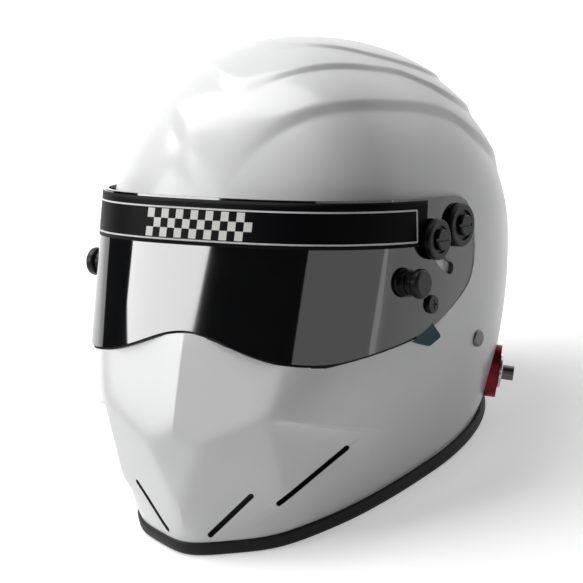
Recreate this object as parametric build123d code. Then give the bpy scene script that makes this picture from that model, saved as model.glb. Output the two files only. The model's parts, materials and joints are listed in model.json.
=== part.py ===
"""Full-face auto racing helmet: a white painted composite shell with a stepped crown and a
faceted chin bar, a dark wrap-round shield on side pivots, and the liner, pads, seals,
straps and hardware that it holds.

The helmet is modelled as it is worn: +X is the wearer's left, -Y is the front, +Z is up,
and the centre of the dome is at zero. The last step tips it back so that its base trim
lies flat, and puts the middle of its footprint at zero.
"""

import os
from math import cos, pi, radians, sin, sqrt

from build123d import *

# Outer shell: the dome, the face and the jaw
SHELL_HALF_WIDTH = 127.5
SHELL_REAR = 154.0
SHELL_UP = 129.5
SHELL_DOWN = 217.0
BROW_REACH = 113.0
CHIN_REACH = 150.0
SHELL_WALL = 4.0
PLAN_POWER_FRONT = 2.6
PLAN_POWER_REAR = 2.1
SIDE_POWER = 2.08
SECTION_POINTS = 18

# Heights of the shell's sections above and below the centre, as shares of SHELL_UP and
# SHELL_DOWN, and how far the face reaches at the lower ones, as shares of CHIN_REACH
DOME_HEIGHT_SHARES = (0.21, 0.41, 0.59, 0.75, 0.87, 0.95, 0.99)
FACE_SHARES = (
    (0.96, 0.92),
    (0.80, 0.985),
    (0.64, 1.005),
    (0.48, 1.0),
    (0.32, 0.955),
    (0.16, 0.865),
    (0.0, 0.78),
)

# Rim: a plane through its lowest point at the front, sloping up to the rear
RIM_FRONT_Y = -143.0
RIM_FRONT_Z = -188.0
RIM_SLOPE = 18.5

# Crown: three nested raised levels, each with its outline seen from above, as shares of
# SHELL_HALF_WIDTH and SHELL_REAR, from its front point to its rear point
LEVEL_RISES = (3.0, 2.5, 2.0)
LEVEL_OUTLINE_SHARES = (
    ((0.0, -0.662), (0.19, -0.63), (0.41, -0.52), (0.59, -0.377), (0.70, -0.208),
     (0.745, 0.0), (0.77, 0.18), (0.80, 0.36), (0.74, 0.60), (0.46, 0.80), (0.0, 0.87)),
    ((0.0, -0.48), (0.11, -0.455), (0.275, -0.37), (0.42, -0.247), (0.51, -0.123),
     (0.56, 0.02), (0.63, 0.16), (0.68, 0.34), (0.60, 0.56), (0.36, 0.72), (0.0, 0.77)),
    ((0.0, -0.227), (0.12, -0.20), (0.267, -0.137), (0.39, -0.052), (0.47, 0.05),
     (0.52, 0.18), (0.53, 0.34), (0.44, 0.52), (0.26, 0.64), (0.0, 0.68)),
)

# Chin facets: each plane has a point that lies in it and the direction that it faces
NOSE_POINT = (0.0, -136.5, -51.0)
CHIN_POINT = (21.7, -148.0, -120.0)
LOUVER_POINT = (66.6, -135.5, -101.0)
LOUVER_END = (102.0, -75.0, -112.5)
SLOT_TOP = (92.9, -84.6, -121.5)
SLOT_FOOT = (62.1, -120.7, -157.8)
NOSE_FACING = (0.164, -0.966, 0.2)
KITE_FACING = (0.0, -0.989, -0.146)
CHIN_FACING = (0.385, -0.872, -0.302)
LOUVER_FACING = (0.835, -0.51, -0.2)
JAW_FACING = (0.862, -0.43, -0.27)
SLOT_OUTWARD = (0.857, -0.515, 0.0)
JAW_STEP = 3.5

# Breathing slots through the chin bar
SLOT_WIDTH = 3.6
FRONT_SLOT_TOP = (47.2, -126.0, -151.1)
FRONT_SLOT_FOOT = (15.2, -130.0, -180.5)

# Shield: a curved lens that is straight up and down, and leans outwards towards its foot
LENS_HALF_WIDTH = 126.9
LENS_FRONT = 124.7
LENS_LEAN = 0.195
LENS_WALL = 3.0
LENS_POWER = 2.79
LENS_POCKET_GAP = 1.0
LENS_EDGE_GAP = 1.6
LENS_RISE = 36.0
LENS_DROP = 66.9
LENS_CORNER_REACH = 111.7
LENS_FOOT_HALF_WIDTH = 92.7
# Foot of the lens seen from the front, as shares of LENS_FOOT_HALF_WIDTH and LENS_DROP
LENS_FOOT_SHARES = ((0.0, 0.753), (0.17, 0.765), (0.34, 0.824), (0.66, 0.952), (1.0, 1.0))
# Rear edge of the lens seen from the side, as shares of LENS_CORNER_REACH and LENS_DROP
LENS_REAR_SHARES = ((1.0, 1.0), (0.777, 0.90), (0.546, 0.804), (0.317, 0.689), (0.194, 0.581),
                    (-0.011, 0.347), (-0.075, 0.15), (-0.086, -0.06))
LENS_TOP_CORNER_SHARES = ((-0.068, -0.33), (0.0, -0.485), (0.13, -0.538))

# Pivot and detent hardware on each side of the shield
PIVOT_Y = -9.5
PIVOT_Z = 16.9
DETENT_RADIUS = 28.9
DETENT_ANGLE = 194.9
DETENT_SWEEP = 57.0
PIVOT_DISC_R = 14.2
DETENT_DISC_R = 13.2
DISC_THICKNESS = 4.2
HUB_R = 6.8
HUB_HEIGHT = 2.6
COIN_SLOT_WIDTH = 2.0
COIN_SLOT_DEPTH = 1.6
DISC_GAP = 0.5
SHOULDER_R = 4.0
RUNNING_GAP = 0.05
SHANK_R = 2.5
NUT_R = 7.0
NUT_THICKNESS = 3.0
WASHER_R = 9.0
WASHER_THICKNESS = 0.6

# Tear-off posts, snap buttons and lift tab on the shield
POST_Y = -60.5
POST_Z = -17.0
POST_FOOT_R = 8.8
POST_FOOT_THICKNESS = 2.4
POST_NECK_R = 7.6
POST_KNOB_R = 9.6
POST_KNOB_THICKNESS = 6.8
POST_LENGTH = 13.5
BUTTON_Y = -38.7
BUTTON_Z = -32.3
BUTTON_R = 6.0
BUTTON_HEIGHT = 2.2
SCREW_R = 1.5
TAB_FRONT = (-58.5, -54.5)
TAB_REAR = (-37.5, -44.5)
TAB_WIDTH_FOOT = 12.0
TAB_LENGTH = 10.5
TAB_THICKNESS = 1.6
TAB_FLARE = 24.0

# Sun strip: a film on the top of the shield
STRIP_THICKNESS = 0.4
STRIP_FOOT_Z = 5.4
STRIP_TOP_Z = 34.6
STRIP_END_Y = -44.5

# Eyeport, and the seals between it and the shield
EYEPORT_TOP = 25.0
EYEPORT_REAR_Y = -52.0
EYEPORT_FOOT_INSET = 12.0
EYEPORT_CORNER_R = 14.0
SEAL_GAP = 0.3
SEAL_WALL = 2.0
SEAL_FLANGE = 3.0
BROW_SEAL_FOOT_Z = 27.0
BROW_SEAL_TOP_Z = 33.0
BROW_SEAL_REAR_Y = -40.0
BROW_SEAL_GAP = 1.0

# Base trim: a rubber channel round the rim
TRIM_HEIGHT = 10.5
TRIM_COVER = 1.8
RIM_TUCK = 6.0

# Frontal head restraint anchors on the lower rear sides
ANCHOR_POINT = (97.0, 80.0, -90.0)
ANCHOR_FACING = 31.0
ANCHOR_TIP = -8.0
ANCHOR_HALF_HEIGHT = 18.0
ANCHOR_HALF_WIDTH = 13.0
ANCHOR_THICKNESS = 7.0
ANCHOR_WASHER_R = 11.0
ANCHOR_WASHER_THICKNESS = 2.2
ANCHOR_POST_R = 5.0
ANCHOR_POST_LENGTH = 8.0
ANCHOR_NECK_R = 3.6
HEX_BORE_R = 2.6
HEX_BORE_DEPTH = 4.0

# Strap rivets, anchor plates, straps and rings
RIVET_Y = 23.8
RIVET_Z = -60.7
RIVET_R = 5.8
RIVET_HEIGHT = 2.4
RIVET_SHANK_R = 2.2
PLATE_WIDTH = 22.0
PLATE_HEIGHT = 34.0
PLATE_THICKNESS = 1.6
STRAP_WIDTH = 25.0
STRAP_THICKNESS = 2.4
STRAP_TOP_Z = -46.0
STRAP_BEND_Z = -76.0
STRAP_SAG_Z = -113.0
STRAP_TURN_R = 9.0
STRAP_MID_SHARE = 0.55
STRAP_LOOP_X = 10.0
STRAP_FREE_X = 18.0
RING_WIRE_R = 1.6
RING_GAP = 0.3
RING_PITCH = 3.6
RING_HALF_WIDTH = 14.5
RING_LEG = 4.0

# Head cavity, liner and pads
HEAD_HALF_WIDTH = 82.0
HEAD_FRONT = 98.0
HEAD_REAR = 106.0
HEAD_UP = 98.0
HEAD_DOWN = 400.0
HEAD_POWER = 2.2
SOFT_GAP = 0.3
CROWN_PAD_THICKNESS = 9.0
CROWN_PAD_FOOT_Z = 52.0
BROW_PAD_THICKNESS = 12.0
BROW_PAD_REAR_Y = -20.0
LINER_FACE_Y = -38.0
LINER_FACE_Z = 29.0
LINER_FOOT_Z = -70.0
NECK_ROLL_HEIGHT = 30.0
NECK_ROLL_INSET = 8.0
NECK_ROLL_FRONT_Y = 50.0
CHEEK_HALF_WIDTH = 63.0
CHEEK_FRONT_Y = -92.0
CHEEK_REAR_Y = 5.0
CHEEK_FOOT_RISE = 22.0
CHIN_FOAM_THICKNESS = 17.0
CHIN_FOAM_FOOT_RISE = 9.0
SCREEN_THICKNESS = 1.0
SCREEN_MARGIN = 4.0

# One overrun for every cut, and one size that reaches past the whole helmet
OVERRUN = 2.0
FAR = 3.0 * SHELL_DOWN
UPRIGHT = (Align.CENTER, Align.CENTER, Align.MIN)


def superellipse_share(share, power):
    """Width left at a share of the way out, on a curve of the given power."""
    return max(1.0 - abs(share) ** power, 0.0) ** (1.0 / power)


def signed_power(value, power):
    return abs(value) ** power if value >= 0 else -(abs(value) ** power)


def section(height, half_width, front, rear, front_power, rear_power):
    """Level section through a head-shaped form, in a left and a right half."""
    points = []
    for step in range(SECTION_POINTS + 1):
        angle = pi / 2 - pi * step / SECTION_POINTS
        forward = angle < 0
        depth = front if forward else rear
        power = 2 / (front_power if forward else rear_power)
        x = half_width * signed_power(cos(angle), power)
        points.append((x, depth * signed_power(sin(angle), power), height))
    points[0] = (0, rear, height)
    points[-1] = (0, -front, height)
    left = Spline(*points, tangents=((1, 0, 0), (-1, 0, 0)))
    right = Spline(*[mirrored(point) for point in reversed(points)],
                   tangents=((-1, 0, 0), (1, 0, 0)))
    return make_face([left, right])


def egg(inset):
    """The shell's smooth form, drawn in by the inset all round."""
    half_width, rear = SHELL_HALF_WIDTH - inset, SHELL_REAR - inset
    up, down = SHELL_UP - inset, SHELL_DOWN - inset
    sections = []
    for height_share, reach_share in FACE_SHARES:
        shrink = superellipse_share(height_share, SIDE_POWER)
        reach = CHIN_REACH * reach_share - inset
        sections.append(section(-down * height_share, half_width * shrink, reach,
                                rear * shrink, PLAN_POWER_FRONT, PLAN_POWER_REAR))
    for height_share in DOME_HEIGHT_SHARES:
        shrink = superellipse_share(height_share, SIDE_POWER)
        brow = (BROW_REACH - inset) * shrink
        sections.append(section(up * height_share, half_width * shrink, brow, rear * shrink,
                                PLAN_POWER_FRONT, PLAN_POWER_REAR))
    return loft(sections + [Vertex(0, 0, up)])


def beyond(point, facing, inset=0.0):
    """Everything on the far side of a plane."""
    away = Vector(*facing).normalized()
    plane = Plane(origin=Vector(*point) - away * inset, z_dir=away)
    return extrude(plane * Rectangle(FAR, FAR), FAR)


def mirrored(point):
    return (-point[0], point[1], point[2])


def pair(left):
    """A left piece and its mirror image, as one node."""
    return Compound(children=[left, mirror(left, about=Plane.YZ)])


def slot_direction():
    return (Vector(*SLOT_FOOT) - Vector(*SLOT_TOP)).normalized()


def louver_cut(inset):
    """The flat louver facet below the cheek's crease."""
    crease = (Vector(*LOUVER_END) - Vector(*LOUVER_POINT)).normalized()
    below = crease.cross(Vector(*SLOT_OUTWARD)).normalized()
    if below.Z > 0:
        below = -below
    return beyond(LOUVER_POINT, LOUVER_FACING, inset) & beyond(LOUVER_POINT, tuple(below))


def jaw_cut(inset):
    """The step down behind the louver's lower edge, which fades out towards the rim."""
    below = slot_direction().cross(Vector(*SLOT_OUTWARD)).normalized()
    if below.Z > 0:
        below = -below
    step = Vector(*LOUVER_FACING).normalized() * JAW_STEP
    top = Vector(*SLOT_TOP) - step
    return beyond(tuple(top), JAW_FACING, inset) & beyond(SLOT_TOP, tuple(below))


def chin_cuts(inset):
    """What the facets take off the smooth form, on both sides."""
    left = [beyond(NOSE_POINT, NOSE_FACING, inset), beyond(CHIN_POINT, CHIN_FACING, inset)]
    left += [louver_cut(inset), jaw_cut(inset)]
    cuts = [beyond(CHIN_POINT, KITE_FACING, inset)]
    for cut in left:
        cuts += [cut, mirror(cut, about=Plane.YZ)]
    return cuts


def helmet_form(inset):
    """The shell's outer form with its chin facets, drawn in by the inset."""
    return egg(inset) - chin_cuts(inset)


def rim_plane(drop):
    """Plane parallel to the rim, facing down, at a distance below the edge of the paint."""
    tilt = radians(RIM_SLOPE)
    down = Vector(0, sin(tilt), -cos(tilt))
    return Plane(origin=Vector(0, RIM_FRONT_Y, RIM_FRONT_Z) + down * drop, z_dir=down)


def below_rim(drop):
    return extrude(rim_plane(drop) * Rectangle(FAR, FAR), FAR)


def box_between(low, high):
    size = [b - a for a, b in zip(low, high)]
    middle = [(a + b) / 2 for a, b in zip(low, high)]
    return Pos(*middle) * Box(*size)


def lens_form(inset):
    """The shield's surface as a solid, drawn in by the inset."""
    faces = []
    for height in (-FAR / 4, FAR / 4):
        front = LENS_FRONT - LENS_LEAN * height - inset
        faces.append(section(height, LENS_HALF_WIDTH - inset, front, SHELL_REAR,
                             LENS_POWER, LENS_POWER))
    forward = loft(faces, ruled=True) - box_between((-FAR, 0, -FAR), (FAR, FAR, FAR))
    half = LENS_HALF_WIDTH - inset
    return forward + box_between((-half, 0, -FAR / 4), (half, SHELL_REAR, FAR / 4))


def grown(points, amount):
    """Points of an open outline, each moved off the line by an amount."""
    moved = []
    for index, (u, v) in enumerate(points):
        before = points[max(index - 1, 0)]
        after = points[min(index + 1, len(points) - 1)]
        du, dv = after[0] - before[0], after[1] - before[1]
        length = sqrt(du * du + dv * dv)
        moved.append((u + amount * dv / length, v - amount * du / length))
    return moved


def lens_region(grow):
    """Everything inside the shield's outline, grown by an amount."""
    foot = [(LENS_FOOT_HALF_WIDTH * u, -LENS_DROP * v) for u, v in LENS_FOOT_SHARES]
    foot = [(-u, v) for u, v in foot[:0:-1]] + foot
    foot = grown(foot, grow)
    edge = Polyline(foot[-1], (FAR, foot[-1][1]), (FAR, FAR), (-FAR, FAR),
                    (-FAR, foot[0][1]), foot[0])
    front = make_face(Plane.XZ * (Curve() + [Spline(*foot), edge]))
    front = extrude(front, FAR, both=True)
    rear = [(-LENS_CORNER_REACH * u, -LENS_DROP * v)
            for u, v in LENS_REAR_SHARES + LENS_TOP_CORNER_SHARES]
    rear = grown(rear, grow)
    top = LENS_RISE + grow
    rear[-1] = (rear[-1][0], top)
    edge = Polyline(rear[-1], (-FAR, top), (-FAR, rear[0][1]), rear[0])
    side = make_face(Plane.YZ * (Curve() + [Spline(*rear), edge]))
    return front & extrude(side, FAR, both=True)


def eyeport_region(grow):
    """The opening in front of the eyes, grown by an amount."""
    foot = lens_region(grow - EYEPORT_FOOT_INSET)
    top = EYEPORT_TOP + grow
    rear = EYEPORT_REAR_Y + grow
    side = make_face(Plane.YZ * Polyline((-FAR, -FAR), (rear, -FAR), (rear, top), (-FAR, top),
                                         close=True))
    side = extrude(side, FAR, both=True)
    corners = side.edges().filter_by(Axis.X).sort_by(Axis.Z)[-2:].sort_by(Axis.Y)[-1:]
    side = fillet(corners, EYEPORT_CORNER_R)
    return foot & side


def capsule(start, end, width, outward, reach):
    """A round-ended slot between two points, through the wall."""
    along = Vector(*end) - Vector(*start)
    plane = Plane(origin=(Vector(*start) + Vector(*end)) / 2, x_dir=along.normalized(),
                  z_dir=Vector(*outward))
    return extrude(plane * SlotCenterToCenter(along.length - width, width), reach, both=True)


def slot_cutters():
    front = capsule(FRONT_SLOT_TOP, FRONT_SLOT_FOOT, SLOT_WIDTH, CHIN_FACING, 5 * SHELL_WALL)
    side = capsule(SLOT_TOP, SLOT_FOOT, SLOT_WIDTH, LOUVER_FACING, 5 * SHELL_WALL)
    return [cut for slot in (front, side) for cut in (slot, mirror(slot, about=Plane.YZ))]


def crown_levels():
    """The raised levels of the crown, one solid for each, standing on the dome."""
    levels = []
    rise = 0.0
    for level_rise, outline in zip(LEVEL_RISES, LEVEL_OUTLINE_SHARES):
        rise += level_rise
        points = [(SHELL_HALF_WIDTH * u, SHELL_REAR * v) for u, v in outline]
        points += [(-x, y) for x, y in points[-2:0:-1]]
        prism = extrude(make_face(Spline(*points, periodic=True)), FAR)
        levels.append(egg(-rise) & prism)
    return levels


def pocket_backing(gap):
    """The shell's thickness behind the shield's pocket, grown by a gap."""
    backing = lens_region(LENS_EDGE_GAP + SHELL_WALL + gap)
    return backing - lens_form(LENS_WALL + LENS_POCKET_GAP + SHELL_WALL + gap)


def make_outer_shell(outside, inside):
    """Painted shell: its form less the hollow, the shield's pocket, the eyeport and slots."""
    pocket = lens_region(LENS_EDGE_GAP) - lens_form(LENS_WALL + LENS_POCKET_GAP)
    hollow = inside - pocket_backing(0.0)
    shell = outside + crown_levels()
    shell = shell - pocket - hollow - eyeport_region(0.0) - slot_cutters()
    shell = shell - below_rim(RIM_TUCK)
    return shell - fastener_holes()


def fastener_holes():
    """Holes through the shell for the thumb screws, the rivets and the anchor posts."""
    holes = []
    for y, z, radius in ((PIVOT_Y, PIVOT_Z, SHANK_R), (*detent_place(), SHANK_R),
                         (RIVET_Y, RIVET_Z, RIVET_SHANK_R)):
        holes += [place * Cylinder(radius, FAR, align=UPRIGHT) for place in side_places(y, z)]
    anchor = extrude(anchor_place() * Circle(ANCHOR_NECK_R), 4 * SHELL_WALL, both=True)
    return holes + [anchor, mirror(anchor, about=Plane.YZ)]


def side_places(y, z):
    """Places on the left and right side whose own Z axis points out of the helmet."""
    left = Location(Plane(origin=(0, y, z), x_dir=(0, 1, 0), z_dir=(1, 0, 0)))
    right = Location(Plane(origin=(0, y, z), x_dir=(0, -1, 0), z_dir=(-1, 0, 0)))
    return left, right


def detent_place():
    angle = radians(DETENT_ANGLE)
    return PIVOT_Y + DETENT_RADIUS * cos(angle), PIVOT_Z + DETENT_RADIUS * sin(angle)


def lens_x(y, z, inset=0.0):
    """How far out the shield's surface is at a place on its side."""
    front = LENS_FRONT - LENS_LEAN * z - inset
    share = min(y, 0.0) / front
    return (LENS_HALF_WIDTH - inset) * superellipse_share(share, LENS_POWER)


def thumb_screw(y, z, disc_r):
    """Black screw with a broad rim, a hub with a coin slot, a shoulder and a shank."""
    base = LENS_HALF_WIDTH + DISC_GAP
    floor = LENS_WALL + LENS_POCKET_GAP
    foot = lens_x(y, z, floor) - LENS_POCKET_GAP
    end = nut_end(y, z)
    disc = Cylinder(disc_r, DISC_THICKNESS, align=UPRIGHT)
    disc = fillet(disc.edges().sort_by(Axis.Z)[-1], DISC_THICKNESS / 3)
    dish = Pos(0, 0, DISC_THICKNESS - COIN_SLOT_DEPTH)
    dish *= Cylinder(disc_r - DISC_THICKNESS, DISC_THICKNESS, align=UPRIGHT)
    hub = Cylinder(HUB_R, DISC_THICKNESS + HUB_HEIGHT, align=UPRIGHT)
    hub = chamfer(hub.edges().sort_by(Axis.Z)[-1], HUB_HEIGHT / 4)
    slot = Pos(0, 0, DISC_THICKNESS + HUB_HEIGHT - COIN_SLOT_DEPTH)
    slot *= Box(2 * HUB_R + OVERRUN, COIN_SLOT_WIDTH, COIN_SLOT_DEPTH + OVERRUN, align=UPRIGHT)
    head = Pos(0, 0, base) * (disc - dish + hub - slot)
    shoulder = Pos(0, 0, foot) * Cylinder(SHOULDER_R, base - foot, align=UPRIGHT)
    shank = Pos(0, 0, end) * Cylinder(SHANK_R, base - end, align=UPRIGHT)
    core = lens_form(floor)
    return Compound(children=[place * head + (place * shoulder - core) + place * shank
                              for place in side_places(y, z)])


def nut_end(y, z):
    """How far out the inner end of a nut is, behind the shell's inner face."""
    return lens_x(y - NUT_R, z, LENS_WALL + LENS_POCKET_GAP + SHELL_WALL) - NUT_THICKNESS


def insert_nuts():
    """Nuts that seat on the inner face of the shell behind each thumb screw."""
    inner_face = lens_form(LENS_WALL + LENS_POCKET_GAP + SHELL_WALL)
    nuts = []
    for y, z in ((PIVOT_Y, PIVOT_Z), detent_place()):
        nut = Pos(0, 0, nut_end(y, z)) * Cylinder(NUT_R, SHELL_WALL + NUT_THICKNESS,
                                                  align=UPRIGHT)
        nut -= Cylinder(SHANK_R, FAR, align=UPRIGHT)
        nuts += [place * nut & inner_face for place in side_places(y, z)]
    return Compound(children=nuts)


def pivot_washers():
    """Thin washers on the pivot shoulders, between the shell and the shield."""
    washer = Cylinder(WASHER_R, WASHER_THICKNESS, align=UPRIGHT)
    washer -= Cylinder(SHOULDER_R, LENS_POCKET_GAP, align=UPRIGHT)
    washer = Pos(0, 0, LENS_HALF_WIDTH - LENS_WALL - LENS_POCKET_GAP + RUNNING_GAP) * washer
    return Compound(children=[place * washer for place in side_places(PIVOT_Y, PIVOT_Z)])


def detent_slot():
    """The shield's arc slot, which the detent screw's shoulder runs in."""
    arc = Pos(PIVOT_Y, PIVOT_Z) * CenterArc((0, 0), DETENT_RADIUS, DETENT_ANGLE, DETENT_SWEEP)
    slot = Plane.YZ * SlotArc(arc, 2 * (SHOULDER_R + RUNNING_GAP))
    return extrude(slot, FAR, both=True)


def make_lens():
    """Dark shield with its pivot holes, its detent slots and the holes for its posts."""
    lens = (lens_form(0.0) - lens_form(LENS_WALL)) & lens_region(0.0)
    lens -= detent_slot()
    for y, z, r in ((PIVOT_Y, PIVOT_Z, SHOULDER_R + RUNNING_GAP), (POST_Y, POST_Z, SCREW_R)):
        lens -= [place * Cylinder(r, FAR, align=UPRIGHT) for place in side_places(y, z)]
    return lens


def make_sun_strip():
    """Film on the outside of the shield, along its top edge."""
    film = lens_form(-RUNNING_GAP - STRIP_THICKNESS) - lens_form(-RUNNING_GAP)
    return film & box_between((-FAR, -FAR, STRIP_FOOT_Z), (FAR, STRIP_END_Y, STRIP_TOP_Z))


def tearoff_posts():
    """Spool-shaped posts that tear-off films hook over, seated on the shield."""
    seat = lens_x(POST_Y - POST_FOOT_R, POST_Z)
    face = lens_x(POST_Y, POST_Z)
    top = face + POST_LENGTH
    knob = Cylinder(POST_KNOB_R, POST_KNOB_THICKNESS, align=UPRIGHT)
    knob = Pos(0, 0, top - POST_KNOB_THICKNESS) * fillet(knob.edges(), POST_KNOB_THICKNESS / 3)
    neck = Pos(0, 0, seat) * Cylinder(POST_NECK_R, top - seat - POST_KNOB_THICKNESS / 2,
                                      align=UPRIGHT)
    foot = Pos(0, 0, seat) * Cylinder(POST_FOOT_R, face + POST_FOOT_THICKNESS - seat,
                                      align=UPRIGHT)
    stem = Pos(0, 0, seat) * Cylinder(SCREW_R, face + POST_NECK_R - seat, align=UPRIGHT)
    spool = knob + neck + foot - stem
    return Compound(children=[place * spool - lens_form(0.0)
                              for place in side_places(POST_Y, POST_Z)])


def button_head(y, z):
    """Round cross-recessed button seated on the shield."""
    seat = lens_x(y - BUTTON_R, z)
    top = lens_x(y, z) + BUTTON_HEIGHT
    head = Pos(0, 0, seat) * Cylinder(BUTTON_R, top - seat, align=UPRIGHT)
    head = fillet(head.edges().sort_by(Axis.Z)[-1], BUTTON_HEIGHT / 3)
    cross = Box(BUTTON_R, COIN_SLOT_WIDTH / 2, COIN_SLOT_DEPTH)
    cross += Box(COIN_SLOT_WIDTH / 2, BUTTON_R, COIN_SLOT_DEPTH)
    head -= Pos(0, 0, top) * cross
    return head


def snap_buttons():
    """Buttons bonded to the outside of the shield below the posts."""
    head = button_head(BUTTON_Y, BUTTON_Z)
    return Compound(children=[place * head - lens_form(0.0)
                              for place in side_places(BUTTON_Y, BUTTON_Z)])


def post_screws():
    """Countersunk screws that hold the posts, flush with the inside of the shield."""
    inner = lens_x(POST_Y, POST_Z, LENS_WALL)
    screws = []
    for place in side_places(POST_Y, POST_Z):
        reach = lens_x(POST_Y, POST_Z) + POST_NECK_R - inner
        shank = Pos(0, 0, inner) * Cylinder(SCREW_R - RUNNING_GAP, reach, align=UPRIGHT)
        screws.append(place * shank)
    return Compound(children=screws)


def make_lift_tab():
    """Finger tab on the left lower edge of the shield, bent outwards."""
    top, foot = Vector(lens_x(*TAB_FRONT), *TAB_FRONT), Vector(lens_x(*TAB_REAR), *TAB_REAR)
    along = (foot - top).normalized()
    plane = Plane(origin=(top + foot) / 2, x_dir=along, z_dir=along.cross(Vector(0, 0, 1)))
    length = (foot - top).length
    outline = Polyline((-length / 2, 0), (length / 2, 0), (length / 2, -TAB_LENGTH),
                       (length / 2 - TAB_WIDTH_FOOT, -TAB_LENGTH), close=True)
    blade = extrude(make_face(outline), -TAB_THICKNESS)
    corners = blade.edges().filter_by(Axis.Z).sort_by(Axis.Y)[:2]
    blade = fillet(corners, TAB_WIDTH_FOOT / 5)
    return plane * Rot(-TAB_FLARE, 0, 0) * blade - lens_form(0.0)


def make_lower_seal():
    """Rubber seal round the eyeport's sides and foot: a channel over the edge of the shell,
    a thin apron under the shield and a bead in the gap below it."""
    floor = LENS_WALL + LENS_POCKET_GAP
    back = floor + SHELL_WALL
    reach = box_between((-FAR, -FAR, -FAR), (FAR, POST_Y + POST_FOOT_R, EYEPORT_TOP - SEAL_WALL))
    region = lens_region(LENS_EDGE_GAP) & reach
    port = eyeport_region(0.0) & reach
    flange = (eyeport_region(SEAL_FLANGE) & reach) - port
    top = lens_form(LENS_WALL + SEAL_GAP)
    inner = lens_form(back + SEAL_WALL)
    apron = (region - port) & top
    bead = (region - lens_region(SEAL_GAP)) & lens_form(LENS_WALL / 3)
    web = (port - eyeport_region(-SEAL_WALL)) & top
    flange = flange & lens_form(back)
    return (apron + bead - lens_form(floor)) + (web + flange - inner)


def make_brow_seal(outside):
    """Rubber seal between the brow of the shell and the top of the shield."""
    band = lens_form(LENS_WALL + BROW_SEAL_GAP) & box_between((-FAR, -FAR, BROW_SEAL_FOOT_Z),
                                                         (FAR, BROW_SEAL_REAR_Y, BROW_SEAL_TOP_Z))
    return band - outside


def make_base_trim(outer_cover, inner_cover, shell):
    """Rubber channel pushed over the rim of the shell."""
    band = (outer_cover & below_rim(0.0)) - below_rim(TRIM_HEIGHT)
    return band - inner_cover - shell


def slot_plane(top, foot, facing, depth):
    """Plane behind a slot, square to its facet, with its X along the slot."""
    away = Vector(*facing).normalized()
    middle = (Vector(*top) + Vector(*foot)) / 2
    x_dir = (Vector(*foot) - Vector(*top)).normalized()
    return Plane(origin=middle - away * depth, x_dir=x_dir, z_dir=away)


def slot_shapes(grow, front_depth, side_depth, thickness):
    """Round-ended plates behind the left front slot and the left side slot."""
    shapes = []
    for top, foot, facing, depth in (
            (FRONT_SLOT_TOP, FRONT_SLOT_FOOT, CHIN_FACING, front_depth),
            (SLOT_TOP, SLOT_FOOT, LOUVER_FACING, side_depth)):
        length = (Vector(*foot) - Vector(*top)).length - SLOT_WIDTH
        plate = SlotCenterToCenter(length, SLOT_WIDTH + 2 * grow)
        shapes.append(extrude(slot_plane(top, foot, facing, depth) * plate, thickness))
    return shapes


def vent_screens(room):
    """Fine screens just inside the shell, behind the left slots."""
    depth = SHELL_WALL + SCREEN_THICKNESS + SOFT_GAP
    screens = slot_shapes(SCREEN_MARGIN, depth, depth + 2 * JAW_STEP, SCREEN_THICKNESS)
    return [(screen & room) - below_rim(-SOFT_GAP) for screen in screens]


def airways():
    """Ways for the air through the foam behind the slots, on both sides."""
    depth = SHELL_WALL + CHIN_FOAM_THICKNESS + JAW_STEP + OVERRUN
    ways = slot_shapes(SCREEN_MARGIN + SOFT_GAP, depth, depth, depth)
    return ways + [mirror(way, about=Plane.YZ) for way in ways]


def head_form(inset):
    """The head's space, drawn in by the inset: a dome above and upright walls below."""
    half, front, rear = (size - inset for size in (HEAD_HALF_WIDTH, HEAD_FRONT, HEAD_REAR))
    up = HEAD_UP - inset
    base = section(0.0, half, front, rear, HEAD_POWER, HEAD_POWER)
    faces = [base]
    for height_share in DOME_HEIGHT_SHARES:
        shrink = superellipse_share(height_share, HEAD_POWER)
        faces.append(section(up * height_share, half * shrink, front * shrink, rear * shrink,
                             HEAD_POWER, HEAD_POWER))
    return extrude(base, -HEAD_DOWN) + loft(faces + [Vertex(0, 0, up)])


def slab(low, high):
    return box_between((-FAR, -FAR, low), (FAR, FAR, high))


def make_liner(room):
    """Foam liner over the top, back and sides of the head."""
    face = box_between((-FAR, -FAR, -FAR), (FAR, LINER_FACE_Y, LINER_FACE_Z))
    liner = room - face - slab(-FAR, LINER_FOOT_Z) - head_form(0.0)
    return liner - nut_room() - strap_room()


def strap_room():
    """Room in the foam for the rivets, plates and ends of the straps, on both sides."""
    inner = strap_x(RIVET_Z) - 2 * STRAP_THICKNESS
    side = STRAP_WIDTH / 2 + OVERRUN
    top = RIVET_Z + PLATE_HEIGHT / 2 + OVERRUN
    room = box_between((inner, RIVET_Y - side, -FAR), (FAR, RIVET_Y + side, top))
    return [room, mirror(room, about=Plane.YZ)]


def nut_room():
    """Room in the foam for the nuts and the ends of the screws."""
    depth = SHELL_WALL + LENS_WALL + LENS_POCKET_GAP + 3 * NUT_THICKNESS
    room = Cylinder(NUT_R + NUT_THICKNESS, FAR, align=UPRIGHT)
    room = Pos(0, 0, LENS_HALF_WIDTH - depth) * room
    cuts = []
    for y, z in ((PIVOT_Y, PIVOT_Z), detent_place()):
        cuts += [place * room for place in side_places(y, z)]
    return cuts


def make_crown_pad():
    pad = head_form(SOFT_GAP) & slab(CROWN_PAD_FOOT_Z, FAR)
    return pad - head_form(CROWN_PAD_THICKNESS)


def make_brow_pad():
    top = CROWN_PAD_FOOT_Z - SOFT_GAP
    room = box_between((-FAR, -FAR, LINER_FACE_Z), (FAR, BROW_PAD_REAR_Y, top))
    return (head_form(SOFT_GAP) & room) - head_form(BROW_PAD_THICKNESS)


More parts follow.
